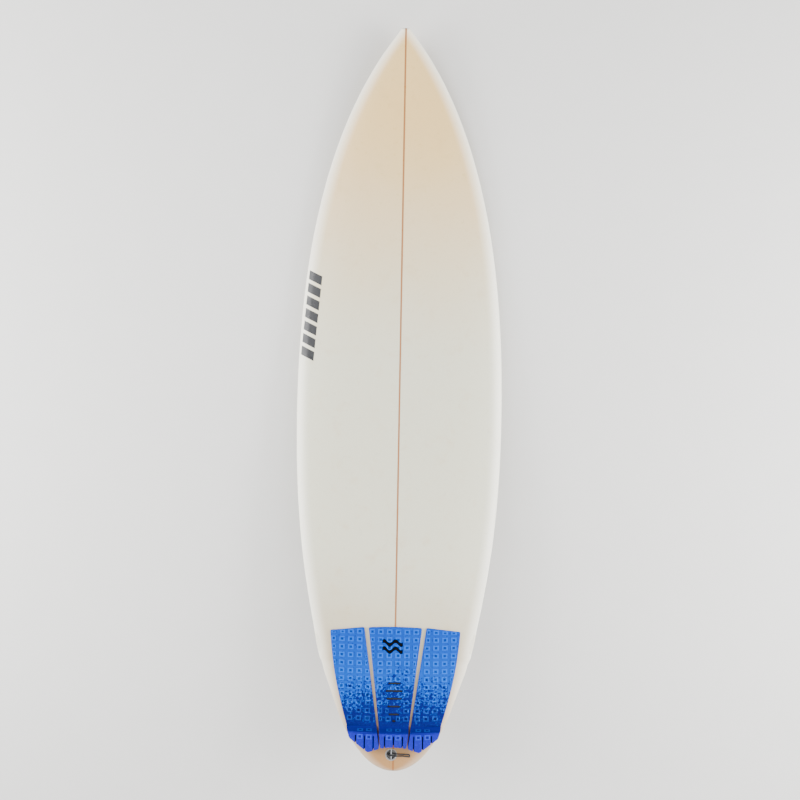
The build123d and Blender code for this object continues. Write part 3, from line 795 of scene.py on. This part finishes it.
def pad_outline(name):
    """Outline of one piece of the pad, on the level board."""
    if name == "centre":
        front = cubic([(0.0645, 0.3465), (0, 0.3485), (-0.0645, 0.3465)], steps=8)
        rear = cubic([(-0.031, 0.063), (0, 0.066), (0.031, 0.063)], steps=8)
        points = np.concatenate([front, rear])
    else:
        way = -1 if name == "left" else 1
        outer = cubic([(0.158, 0.337), (0.151, 0.269), (0.131, 0.169), (0.107, 0.084)], steps=8)
        points = np.concatenate([[(0.0755, 0.347)], outer, [(0.062, 0.0525), (0.0345, 0.062)]]) * (way, 1)
    points[:, 1] = from_tail(points[:, 1])
    return wound(corners_rounded(evenly(points, 0.012), 0.004), left=True)


def kept_behind(loop, y):
    """The part of a closed loop that lies behind a line across the board."""
    made = []
    for near, far in zip(loop, np.roll(loop, -1, axis=0)):
        if near[1] <= y:
            made.append(near)
        if (near[1] <= y) != (far[1] <= y):
            made.append(near + (far - near) * (y - near[1]) / (far[1] - near[1]))
    return np.array(made)


def vent_outlines():
    """The rounded vents through the middle piece."""
    half = pad().vent / 2
    loops = []
    for distance, width in VENTS:
        ends = []
        for way in (1, -1):
            for angle in np.linspace(-90, 90, 7):
                turn = math.radians(angle) + (0 if way == 1 else math.pi)
                x = way * (width / 2 - half) + half * math.cos(turn)
                ends.append((x, from_tail(distance) + half * math.sin(turn)))
        loops.append(wound(ends, left=False))
    return loops


def slab(name, outline, holes, top, bottom, bevel, lines=(), spacing=0.006):
    """A closed sheet cut to an outline with holes, between two heights that depend on the place."""
    loops = [evenly(outline, 0.003), *holes]
    loops += [inwards(loop, bevel) for loop in loops] if bevel else []
    points, edges = [], []
    for loop in [*loops, *lines]:
        start = len(points)
        points += [Vector(p) for p in loop]
        edges += [(start + i, start + (i + 1) % len(loop)) for i in range(len(loop))]
    low, high = np.min(outline, axis=0), np.max(outline, axis=0)
    grid = np.stack(np.meshgrid(*(np.arange(low[i], high[i], spacing) for i in (0, 1))), axis=-1).reshape(
        -1, 2
    )
    near = np.array([tuple(p) for p in points])
    clear = [np.min(((near - p) ** 2).sum(axis=1)) > (0.4 * spacing) ** 2 for p in grid]
    points += [Vector(p) for p in grid[clear]]
    flat, _, faces, *_ = delaunay_2d_cdt(points, edges, [], 0, 1e-6)
    flat = np.array([tuple(p) for p in flat])
    middles = np.array([flat[list(face)].mean(axis=0) for face in faces])
    kept = inside(outline, middles)
    for hole in holes:
        kept &= ~inside(hole, middles)
    faces = [tuple(face) for face, keep in zip(faces, kept) if keep]
    sides = {}
    for face in faces:
        for a, b in zip(face, face[1:] + face[:1]):
            sides[(a, b)] = True
    rim = [(a, b) for a, b in sides if (b, a) not in sides]
    on_rim = np.zeros(len(flat), bool)
    on_rim[[i for edge in rim for i in edge]] = True
    upper = top(flat[:, 0], flat[:, 1]) - np.where(on_rim, bevel, 0)
    # Rim points of the holes, which the foam material darkens as painted shade
    cut = on_rim & inside(inwards(wound(outline, left=True), 0.004), flat)
    lower = bottom(flat[:, 0], flat[:, 1])
    upper = np.maximum(upper, lower + 0.0002)
    count = len(flat)
    solid = np.concatenate([np.column_stack((flat, upper)), np.column_stack((flat, lower))])
    walls = [(b, a, a + count, b + count) for a, b in rim]
    under = [tuple(i + count for i in reversed(face)) for face in faces]
    mesh = mesh_of(name, resting(solid), [*faces, *walls, *under])
    mesh.attributes.new("cut", "FLOAT", "POINT").data.foreach_set(
        "value", np.tile(cut, 2).astype(np.float32)
    )
    shell = bmesh.new()
    shell.from_mesh(mesh)
    bmesh.ops.delete(shell, geom=[v for v in shell.verts if not v.link_faces], context="VERTS")
    bmesh.ops.recalc_face_normals(shell, faces=shell.faces)
    shell.to_mesh(mesh)
    shell.free()
    return mesh


# Squares moulded on the pad
def tile_tree():
    """A node tree that stands a hollowed square on each point marked as a tile's place."""
    tree = bpy.data.node_groups.new("Moulded squares", "GeometryNodeTree")
    tree.interface.new_socket("Geometry", in_out="INPUT", socket_type="NodeSocketGeometry")
    for name in ("Tile Width", "Tile Length", "Tile Height", "Edge Bevel", "Dimple Depth", "Sunk"):
        tree.interface.new_socket(name, in_out="INPUT", socket_type="NodeSocketFloat")
    tree.interface.new_socket("Foam", in_out="INPUT", socket_type="NodeSocketMaterial")
    tree.interface.new_socket("Geometry", in_out="OUTPUT", socket_type="NodeSocketGeometry")
    given = node(tree, "NodeGroupInput").outputs
    is_tile, up, fit = (
        node(tree, "GeometryNodeInputNamedAttribute", {"Name": name}, data_type=kind).outputs[0]
        for name, kind in (("tile", "FLOAT"), ("up", "FLOAT_VECTOR"), ("fit", "FLOAT_VECTOR"))
    )
    parted = node(
        tree, "GeometryNodeSeparateGeometry", {"Geometry": given[0], "Selection": is_tile}, domain="POINT"
    )
    body = node(
        tree, "ShaderNodeMath", {0: given["Tile Height"], 1: given["Edge Bevel"]}, operation="SUBTRACT"
    )
    height = node(tree, "ShaderNodeMath", {0: body, 1: given["Sunk"]}, operation="ADD")
    whole = node(tree, "ShaderNodeCombineXYZ", {0: given["Tile Width"], 1: given["Tile Length"], 2: height})
    block = node(tree, "GeometryNodeMeshCube", {"Size": whole})
    half = node(tree, "ShaderNodeMath", {0: height, 1: 0.5}, operation="MULTIPLY")
    middle = node(tree, "ShaderNodeMath", {0: half, 1: given["Sunk"]}, operation="SUBTRACT")
    lifted = node(tree, "ShaderNodeCombineXYZ", {2: middle})
    square = node(tree, "GeometryNodeTransform", {"Geometry": block, "Translation": lifted})
    normal = node(tree, "GeometryNodeInputNormal")
    upright = node(tree, "ShaderNodeSeparateXYZ", {0: normal}).outputs[2]
    top = node(tree, "ShaderNodeMath", {0: upright, 1: 0.5}, operation="GREATER_THAN")
    inwards_by = node(tree, "ShaderNodeMath", {0: given["Dimple Depth"], 1: -1.0}, operation="MULTIPLY")
    # Softened shoulder, rim and hollow: how far the top moves, what it narrows to, and its mark, painted highlight
    # on the shoulder and rim and painted shade in the hollow
    for offset, narrowed, mark, strength in (
        (given["Edge Bevel"], 0.90, "worn", 0.55), (0.0, 0.56, "worn", 1.0), (inwards_by, 0.86, "hollow", 1.0),
    ):
        pushed = node(
            tree, "GeometryNodeExtrudeMesh",
            {"Mesh": square, "Selection": top, "Offset Scale": offset, "Individual": False}, mode="FACES",
        )
        top = pushed.outputs["Top"]
        narrow = node(
            tree, "GeometryNodeScaleElements", {"Geometry": pushed, "Selection": top, "Scale": narrowed},
            domain="FACE",
        )
        marked = top if mark == "hollow" else pushed.outputs["Side"]
        square = node(
            tree, "GeometryNodeStoreNamedAttribute",
            {"Geometry": narrow, "Selection": marked, "Name": mark, "Value": strength},
            data_type="FLOAT", domain="FACE",
        )
    turned = node(tree, "FunctionNodeAlignRotationToVector", {"Vector": up}, axis="Z")
    stood = node(
        tree, "GeometryNodeInstanceOnPoints",
        {"Points": parted.outputs["Selection"], "Instance": square, "Rotation": turned, "Scale": fit},
    )
    joined = node(tree, "GeometryNodeJoinGeometry", {0: stood})
    feed(tree, joined, {0: parted.outputs["Inverted"]})
    real = node(tree, "GeometryNodeRealizeInstances", {"Geometry": joined})
    coated = node(tree, "GeometryNodeSetMaterial", {"Geometry": real, "Material": given["Foam"]})
    node(tree, "NodeGroupOutput", {0: coated})
    return tree


def tile_places(outline, holes, columns, rows, half):
    """Middle and share of full size of each square inside an outline, trimmed where the outline cuts it."""
    margin = 0.0008
    shares = (0, 0.15, 0.3, 0.45, 0.6)
    trims = [t for t in itertools.product(shares, shares, shares) if t[0] + t[1] <= 0.6]
    trims = np.array(sorted(trims, key=sum))
    low = np.column_stack((-1 + 2 * trims[:, 0], np.full(len(trims), -1.0)))
    high = 1 - 2 * trims[:, 1:]
    steps = np.array([(u, v) for u in np.linspace(0, 1, 5) for v in np.linspace(0, 1, 3)])
    half = np.array(half)
    spots = np.array([(x, y) for y in rows for x in columns])
    spread = (low[:, None] + (high - low)[:, None] * steps) * (half + margin)
    points = spots[:, None, None] + spread
    fits = inside(outline, points.reshape(-1, 2))
    for hole in holes:
        fits &= ~inside(hole, points.reshape(-1, 2))
    fits = fits.reshape(points.shape[:3]).all(axis=2)
    places = []
    for spot, row in zip(spots, fits):
        if row.any():
            best = int(np.argmax(row))
            places.append((*(spot + half * (low[best] + high[best]) / 2), *((high[best] - low[best]) / 2)))
    return places


def with_tiles(mesh, places, top, made, tree):
    """A foam mesh with its squares, standing square to the surface under them."""
    places = np.array(places, float)
    flat, x, y = places[:, :2], places[:, 0], places[:, 1]
    reach = 0.001
    slope_x = (top(x + reach, y) - top(x - reach, y)) / (2 * reach)
    slope_y = (top(x, y + reach) - top(x, y - reach)) / (2 * reach)
    turn = np.array(resting_axes())[:3, :3]
    ups = np.column_stack((-slope_x, -slope_y, np.ones(len(x)))) @ turn.T
    stands = resting(np.column_stack((flat, top(x, y))))
    first = len(mesh.vertices)
    mesh.vertices.add(len(places))
    for i, place in enumerate(stands):
        mesh.vertices[first + i].co = place
    marks = np.zeros(len(mesh.vertices), np.float32)
    marks[first:] = 1
    mesh.attributes.new("tile", "FLOAT", "POINT").data.foreach_set("value", marks)
    lines = np.zeros((len(mesh.vertices), 3), np.float32)
    lines[first:] = ups
    mesh.attributes.new("up", "FLOAT_VECTOR", "POINT").data.foreach_set("vector", lines.ravel())
    fits = np.ones((len(mesh.vertices), 3), np.float32)
    fits[first:, :2] = places[:, 2:]
    mesh.attributes.new("fit", "FLOAT_VECTOR", "POINT").data.foreach_set("vector", fits.ravel())
    obj = piece(mesh.name, mesh)
    modifier = obj.modifiers.new("Moulded squares", "NODES")
    modifier.node_group = tree
    sizes = {
        "Tile Width": pad().tile_width, "Tile Length": pad().tile_length, "Tile Height": pad().tile_height,
        "Edge Bevel": 0.0005, "Dimple Depth": pad().dimple, "Sunk": 0.0004, "Foam": made,
    }
    for socket in tree.interface.items_tree:
        if socket.in_out == "INPUT" and socket.name in sizes:
            modifier[socket.identifier] = sizes[socket.name]
    return applied(obj)


# Board
def skin_mesh():
    """The outside of the glassed board as one closed surface, with its rails marked for the paler lapped glass and
    a painted highlight, and its deck side marked.
    """
    half_length = board().length / 2
    wing = from_tail(np.array((0.230, 0.292)))
    tips = np.array((0, 0.0003, 0.001, 0.002, 0.0033, 0.005, 0.0075, 0.011, 0.016, 0.023))
    stations = np.unique(np.round(np.concatenate([
        np.linspace(0.03 - half_length, half_length - 0.03, 150),
        np.linspace(*wing, 26), tips - half_length, half_length - tips,
    ]), 6))
    around = 96
    turns = 2 * math.pi * np.arange(around) / around
    points, rails, marks = [], [], []
    for y in stations:
        wide, level, thick = float(rail_at(y)), float(rail_height(y)), float(rounded_foil(y))
        x = wide * np.cos(turns)
        share = np.abs(np.cos(turns))
        deck = level + (1 - RAIL_APEX) * thick * bulge(share, DECK_SHAPE)
        bottom = level - RAIL_APEX * thick * bulge(share, BOTTOM_SHAPE)
        on_deck = turns <= math.pi
        points.append(np.column_stack((x, np.full(around, y), np.where(on_deck, deck, bottom))))
        # Rail share: paler lapped glass plus a painted highlight, strongest at the rail and weaker towards the tail
        in_from_rail = wide - np.abs(x)
        rail_lap_and_highlight_along = np.clip((y + half_length) / 0.30, 0.3, 1)
        rails.append(rail_lap_and_highlight_along * np.clip(1 - in_from_rail / 0.030, 0, 1) ** 1.2)
        marks.append(np.where(on_deck & (x < 0), 1.0, 0.0))
    rows = len(stations)
    faces = [
        (
            r * around + i, r * around + (i + 1) % around, (r + 1) * around + (i + 1) % around, (r + 1) * around + i
        )
        for r in range(rows - 1) for i in range(around)
    ]
    faces += [tuple(range(around)), tuple((rows - 1) * around + i for i in range(around))]
    mesh = mesh_of("glass_skin", resting(np.concatenate(points)), faces)
    face_out(mesh)
    for name, values in (("rail", rails), ("marking", marks)):
        made = mesh.attributes.new(name, "FLOAT", "POINT")
        made.data.foreach_set("value", np.concatenate(values).astype(np.float32))
    return mesh


def prism(shell, outline, placed, low, high):
    """Adds a straight-sided solid to a mesh being made, in the frame that placed gives."""
    rings = [[shell.verts.new(placed @ Vector((x, y, z))) for x, y in outline] for z in (low, high)]
    count = len(outline)
    shell.faces.new(reversed(rings[0]))
    shell.faces.new(rings[1])
    for i in range(count):
        j = (i + 1) % count
        shell.faces.new((rings[0][i], rings[0][j], rings[1][j], rings[1][i]))


def room_mesh():
    """Room for the leash plug and the three fin boxes."""
    shell = bmesh.new()
    sizes, gap, proud = board(), 0.0001, 0.006
    plug_y = from_tail(PLUG_FROM_TAIL)
    rim = resting_axes() @ Matrix.Translation((PLUG_X, plug_y, float(deck_at(PLUG_X, plug_y))))
    radius = sizes.cup_radius + gap
    circle = [(radius * math.cos(t), radius * math.sin(t)) for t in np.linspace(0, math.tau, 65)[:-1]]
    prism(shell, circle, rim, -sizes.box_depth, proud)
    axes = {joint["name"]: Vector(joint["axis"]) for joint in frame["joints"]}
    slots = {mount["name"]: Vector(mount["pos_m"]) for mount in frame["record"]["mounts"]}
    corner = sizes.box_corner + gap
    straight_x, straight_y = (side / 2 - sizes.box_corner for side in (sizes.box_length, sizes.box_width))
    outline = []
    for quarter, (sx, sy) in enumerate(((1, 1), (-1, 1), (-1, -1), (1, -1))):
        for t in np.linspace(quarter, quarter + 1, 7) * math.pi / 2:
            x = sizes.box_forward + sx * straight_x + corner * math.cos(t)
            outline.append((x, sy * straight_y + corner * math.sin(t)))
    for name in FIN_NAMES:
        out, screw = axes[f"fin_{name}_pull"], axes[f"fin_screw_{name}_turn_out"]
        forward = (screw - out * screw.dot(out)).normalized()
        placed = Matrix((forward, out.cross(forward), out)).transposed().to_4x4()
        placed.translation = slots[f"fin_slot_{name}"]
        prism(shell, outline, placed, -sizes.box_depth, proud)
    mesh = bpy.data.meshes.new("rooms")
    shell.to_mesh(mesh)
    shell.free()
    face_out(mesh)
    return mesh


class SURFBOARD_OT_glass_skin(bpy.types.Operator):
    """Glass skin round the whole board, with rooms for the leash plug and the fin boxes"""

    bl_idname = "surfboard.glass_skin"
    bl_label = "Glass Skin"

    def execute(self, context):
        skin = piece("glass_skin", skin_mesh())
        rooms = piece("rooms", room_mesh())
        wall = skin.modifiers.new("Glass", "SOLIDIFY")
        wall.thickness = board().glass
        wall.offset = -1
        cut = skin.modifiers.new("Rooms", "BOOLEAN")
        cut.operation = "DIFFERENCE"
        cut.solver = "EXACT"
        cut.object = rooms
        applied(skin)
        bpy.data.objects.remove(rooms)
        smooth(skin.data, 40)
        put_material(skin, glass_material())
        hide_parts("deck_laminate", "bottom_laminate")
        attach(skin, "board")
        return {"FINISHED"}


class SURFBOARD_OT_core(bpy.types.Operator):
    """Foam core halves and the wooden stringer between them"""

    bl_idname = "surfboard.core"
    bl_label = "Foam Core and Stringer"

    def execute(self, context):
        foam = plain_material("Cut_polyurethane_foam", "#E9E4D2", 0.0008, 0.35, Roughness=0.85)
        for side in ("left", "right"):
            finish_node(f"foam_core_{side}", foam)
        finish_node("stringer", wood_material())
        return {"FINISHED"}


class SURFBOARD_OT_fins(bpy.types.Operator):
    """Three fins, their boxes and their screws"""

    bl_idname = "surfboard.fins"
    bl_label = "Fins"

    def execute(self, context):
        fin = fin_material()
        box = plain_material("Moulded_nylon_box", "#E6E5E0", 0.0009, 0.12, Roughness=0.42, IOR=1.53)
        steel = steel_material()
        for side in FIN_NAMES:
            finish_node(f"fin_{side}", fin)
            finish_node(f"fin_box_{side}", box)
            finish_node(f"fin_screw_{side}", steel)
        return {"FINISHED"}


class SURFBOARD_OT_leash_plug(bpy.types.Operator):
    """Leash plug: the cup in the deck and the pin across it"""

    bl_idname = "surfboard.leash_plug"
    bl_label = "Leash Plug"

    def execute(self, context):
        cup = plain_material("Moulded_polycarbonate_cup", "#8E8D8A", 0.001, 0.12, Roughness=0.38, IOR=1.58)
        finish_node("leash_cup", cup)
        finish_node("leash_pin", steel_material())
        return {"FINISHED"}


def plug_point(x, y, z):
    """A point given in millimetres from the middle of the plug's rim, where it is at rest."""
    rim_y = from_tail(PLUG_FROM_TAIL)
    rim = (PLUG_X, rim_y, float(deck_at(PLUG_X, rim_y)))
    return Vector(resting([[rim[i] + value / 1000 for i, value in enumerate((x, y, z))]])[0])


def knot_mesh(radius):
    """An overhand knot pulled tight: a closed tube that passes over and under itself."""
    centre = plug_point(*KNOT_CENTRE)
    count, around, thick = 72, 12, 0.42 * radius
    t = 2 * math.pi * np.arange(count) / count
    line = np.column_stack(
        (np.sin(t) + 2 * np.sin(2 * t), np.cos(t) - 2 * np.cos(2 * t), -1.5 * np.sin(3 * t))
    )
    line *= (radius - thick) / 3
    run = np.roll(line, -1, axis=0) - np.roll(line, 1, axis=0)
    run /= np.linalg.norm(run, axis=1)[:, None]
    side = np.cross(run, line + (0, 0, 1e-5))
    side /= np.linalg.norm(side, axis=1)[:, None]
    rise = np.cross(run, side)
    points = [
        centre + Vector(line[i] + thick * (math.cos(a) * side[i] + math.sin(a) * rise[i]))
        for i in range(count) for a in 2 * math.pi * np.arange(around) / around
    ]
    faces = [
        (i * around + j, i * around + (j + 1) % around,
         (i + 1) % count * around + (j + 1) % around, (i + 1) % count * around + j)
        for i in range(count) for j in range(around)
    ]
    mesh = mesh_of("leash_knot_tied", points, faces)
    face_out(mesh)
    smooth(mesh, 80)
    return mesh


class SURFBOARD_OT_leash_string(bpy.types.Operator):
    """Loop of braided string through the leash plug, and the knot that closes it"""

    bl_idname = "surfboard.leash_string"
    bl_label = "Leash String"

    def execute(self, context):
        braid = braid_material()
        knot = piece("leash_knot_tied", knot_mesh(0.0036))
        put_material(knot, braid)
        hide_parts("leash_knot")
        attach(knot, "board")
        curve = bpy.data.curves.new("leash_string_loop", "CURVE")
        curve.dimensions = "3D"
        curve.bevel_depth = board().string / 2
        curve.bevel_resolution = 4
        curve.resolution_u = 10
        curve.use_fill_caps = True
        line = curve.splines.new("NURBS")
        line.points.add(len(STRING_ROUTE) - 1)
        for point, place in zip(line.points, STRING_ROUTE):
            point.co = (*plug_point(*place), 1)
        line.order_u = 3
        line.use_endpoint_u = True
        string = piece("leash_string_loop", curve)
        put_material(string, braid)
        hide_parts("leash_string")
        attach(string, "board")
        plug_point(*STRING_ROUTE[0])
        return {"FINISHED"}


class SURFBOARD_OT_pad_base(bpy.types.Operator):
    """Adhesive base under each piece of the pad"""

    bl_idname = "surfboard.pad_base"
    bl_label = "Pad Base"

    def execute(self, context):
        film = plain_material("Black_backing_film", "#0C0D10", 0.0008, 0.2, Roughness=0.7)
        for name in PAD_NAMES:
            # The film runs on under the vents without holes, so they show its near-black
            mesh = slab(
                f"pad_base_{name}", pad_outline(name), [],
                lambda x, y: deck_at(x, y, pad().base), lambda x, y: deck_at(x, y, 0.0001), 0.0,
            )
            smooth(mesh)
            film_piece = piece(mesh.name, mesh)
            put_material(film_piece, film)
            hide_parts(f"pad_adhesive_{name}")
            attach(film_piece, "board")
        return {"FINISHED"}


def sheet_top(x, y):
    return deck_at(x, y, pad().base + pad().foam)


def pad_columns(name):
    """Where the columns of squares stand on one piece of the pad."""
    start = {"left": -0.0858, "centre": 0.0076, "right": 0.0775}[name]
    return [start + pad().tile_pitch * i for i in range(-8, 9)]


class SURFBOARD_OT_pad_sheets(bpy.types.Operator):
    """Foam sheets of the pad, with moulded squares and the vents of the middle piece"""

    bl_idname = "surfboard.pad_sheets"
    bl_label = "Pad Sheets"

    def execute(self, context):
        foam = foam_material("Speckled_EVA_foam", on_kick=False)
        tree = tile_tree()
        rows = [from_tail(0.337 - pad().row_pitch * i) for i in range(12)]
        half = (pad().tile_width / 2, pad().tile_length / 2)
        for name in PAD_NAMES:
            outline = pad_outline(name)
            holes = vent_outlines() if name == "centre" else []
            mesh = slab(
                f"pad_foam_{name}", outline, holes, sheet_top, lambda x, y: deck_at(x, y, pad().base), pad().bevel
            )
            smooth(mesh, 30)
            places = tile_places(outline, holes, pad_columns(name), rows, half)
            sheet = with_tiles(mesh, places, sheet_top, foam, tree)
            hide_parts(f"pad_sheet_{name}")
            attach(sheet, "board")
        return {"FINISHED"}


def slot_places():
    """Where the kick's slots run, either side of the board's middle."""
    return (SLOTS[0], *(way * place for place in SLOTS[1:] for way in (1, -1)))


def kick_body(x, y):
    """Height of the kick's top, without its slots."""
    sizes = pad()
    crest_y, front_y, back_y = (from_tail(d) for d in (sizes.kick_crest, sizes.kick_front, 0.0))
    lift = sizes.base + sizes.foam
    crest = float(deck_at(0.0, crest_y)) + lift + KICK_SEAT + sizes.kick_height
    rear = float(deck_at(0.0, from_tail(0.066))) + sizes.kick_rear
    foot = float(deck_at(0.0, front_y)) + lift
    rise = np.clip((front_y - y) / (front_y - crest_y), 0, 1) ** 1.8
    fall = np.clip((y - back_y) / (crest_y - back_y), 0, 1)
    profile = np.where(y > crest_y, foot + (crest - foot) * rise, rear + (crest - rear) * fall)
    return np.maximum(
        np.minimum(profile, deck_at(x, y, lift + sizes.kick_height)), deck_at(x, y, lift + 0.0004)
    )


def kick_top(x, y):
    """Height of the kick's top, with its slots cut."""
    sizes = pad()
    body = kick_body(x, y)
    floor = float(deck_at(0.0, from_tail(0.066))) + sizes.slot_floor
    depth = sizes.slot_front - 0.0008
    in_slot = np.zeros(np.shape(x), bool)
    for place in slot_places():
        in_slot |= (np.abs(x - place) < sizes.slot / 2 - 0.0002) & (y < from_tail(depth))
    return np.where(in_slot, np.minimum(floor, body), body)


class SURFBOARD_OT_pad_kicks(bpy.types.Operator):
    """Tail kick: a foam block on each piece of the pad, hollow in front and slotted across its top"""

    bl_idname = "surfboard.pad_kicks"
    bl_label = "Pad Kicks"

    def execute(self, context):
        foam = foam_material("Speckled_EVA_foam_kick", on_kick=True)
        tree = tile_tree()
        sizes = pad()
        half_slot = sizes.slot / 2
        rises = from_tail(np.linspace(sizes.kick_front - 0.001, sizes.kick_crest - 0.0015, 12))
        half = (pad().tile_width / 2, pad().tile_length / 2)
        for name in PAD_NAMES:
            outline = corners_rounded(kept_behind(pad_outline(name), from_tail(sizes.kick_front)), 0.0015)
            lines = [[(-0.2, y), (0.2, y)] for y in rises]
            for place in slot_places():
                for grow in (0.0, 0.0004):
                    left, right = place - half_slot - 0.0002 + grow, place + half_slot + 0.0002 - grow
                    front = from_tail(sizes.slot_front - 0.0005 - grow)
                    lines.append([(left, front), (right, front), (right, -1.0), (left, -1.0)])
            mesh = slab(
                f"pad_kick_foam_{name}", outline, [], kick_top,
                lambda x, y: deck_at(x, y, sizes.base + sizes.foam - 0.0002), 0.0007, lines, 0.005,
            )
            smooth(mesh, 30)
            columns = [place + 0.01065 for place in (-0.0911, -0.0698, -0.0213, 0.0, 0.0485, 0.0698)]
            rows = [from_tail(d) for d in (0.1038, 0.0903)]
            places = tile_places(outline, [], columns, rows, half)
            kick = with_tiles(mesh, places, kick_body, foam, tree)
            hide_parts(f"pad_kick_{name}")
            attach(kick, "board")
        return {"FINISHED"}


# Stage
def area_light(name, place, target, width, power):
    lamp = bpy.data.lights.new(name, "AREA")
    lamp.shape = "SQUARE"
    lamp.size = width
    lamp.energy = power
    made = piece(name, lamp)
    made.location = place
    made.rotation_mode = "QUATERNION"
    made.rotation_quaternion = (Vector(target) - Vector(place)).to_track_quat("-Z", "Y")


class SURFBOARD_OT_stage(bpy.types.Operator):
    """Camera square over the deck, pale floor and soft studio light"""

    bl_idname = "surfboard.stage"
    bl_label = "Stage"

    def execute(self, context):
        low = cad_box[0]
        reach = 12.0
        corners = [(x * reach, y * reach, low.z) for x, y in ((-1, -1), (1, -1), (1, 1), (-1, 1))]
        floor = piece("studio_floor", mesh_of("studio_floor", corners, [(0, 1, 2, 3)]))
        put_material(floor, plain_material("Painted_floor", "#D9D8D5", 0.02, 0.05, 0.04, Roughness=0.9))
        lens = bpy.data.cameras.new("Camera")
        lens.lens = 55
        lens.sensor_width = 36
        camera = piece("Camera", lens)
        lean = math.radians(1.02)
        aim = (0.0012, 0.00877)
        axes = resting_axes()
        turn = axes.to_3x3()
        back = turn @ Vector((0, 0, 1))
        upright = turn @ Vector((-math.sin(lean), math.cos(lean), 0))
        camera.matrix_world = Matrix.Translation(axes @ Vector((*aim, 3.025))) @ Matrix(
            (upright.cross(back), upright, back)
        ).transposed().to_4x4()
        context.scene.camera = camera
        for name, place, target, width, power in (
            ("key", (-1.9, 1.6, 2.6), (0, 0, 0.1), 2.4, 110),
            ("fill", (2.2, -0.6, 2.4), (0, 0, 0.1), 2.6, 80),
            ("back", (0.2, -2.6, 1.8), (0, -0.4, 0.1), 1.6, 40),
            ("left_rail", (-2.3, 0.0, 1.0), (-0.2, 0, 0.1), 1.5, 125),
            ("right_rail", (2.3, 0.0, 1.0), (0.2, 0, 0.1), 1.5, 125),
        ):
            area_light(name, place, target, width, power)
        world = bpy.data.worlds.new("studio")
        world.use_nodes = True
        sky = world.node_tree.nodes["Background"]
        feed(world.node_tree, sky, {"Color": linear("#F2F3F5"), "Strength": 0.55})
        context.scene.world = world
        return {"FINISHED"}


OPERATORS = (
    SURFBOARD_OT_stage,
    SURFBOARD_OT_leash_string,
    SURFBOARD_OT_glass_skin,
    SURFBOARD_OT_core,
    SURFBOARD_OT_fins,
    SURFBOARD_OT_leash_plug,
    SURFBOARD_OT_pad_base,
    SURFBOARD_OT_pad_sheets,
    SURFBOARD_OT_pad_kicks,
)


class SURFBOARD_PT_panel(bpy.types.Panel):
    """Lists the surfboard's sizes, colours and pieces"""

    bl_idname = "SURFBOARD_PT_panel"
    bl_label = "Shortboard Surfboard"
    bl_space_type = "VIEW_3D"
    bl_region_type = "UI"
    bl_category = "Surfboard"

    def draw(self, context):
        for title, group in (("Board", board()), ("Pad", pad()), ("Colours", colours())):
            box = self.layout.box()
            box.label(text=title)
            for name in group.__annotations__:
                box.prop(group, name)
        for made in OPERATORS:
            self.layout.operator(made.bl_idname)


GROUPS = {
    "surfboard_board": SURFBOARD_PG_board,
    "surfboard_pad": SURFBOARD_PG_pad,
    "surfboard_colours": SURFBOARD_PG_colours,
}


def register():
    for made in (*GROUPS.values(), *OPERATORS, SURFBOARD_PT_panel):
        bpy.utils.register_class(made)
    for name, group in GROUPS.items():
        setattr(bpy.types.Scene, name, PointerProperty(type=group))


def unregister():
    for name in GROUPS:
        delattr(bpy.types.Scene, name)
    for made in reversed((*GROUPS.values(), *OPERATORS, SURFBOARD_PT_panel)):
        bpy.utils.unregister_class(made)


def main():
    register()
    for made in OPERATORS:
        group, name = made.bl_idname.split(".")
        getattr(getattr(bpy.ops, group), name)()


if __name__ == "__main__":
    main()
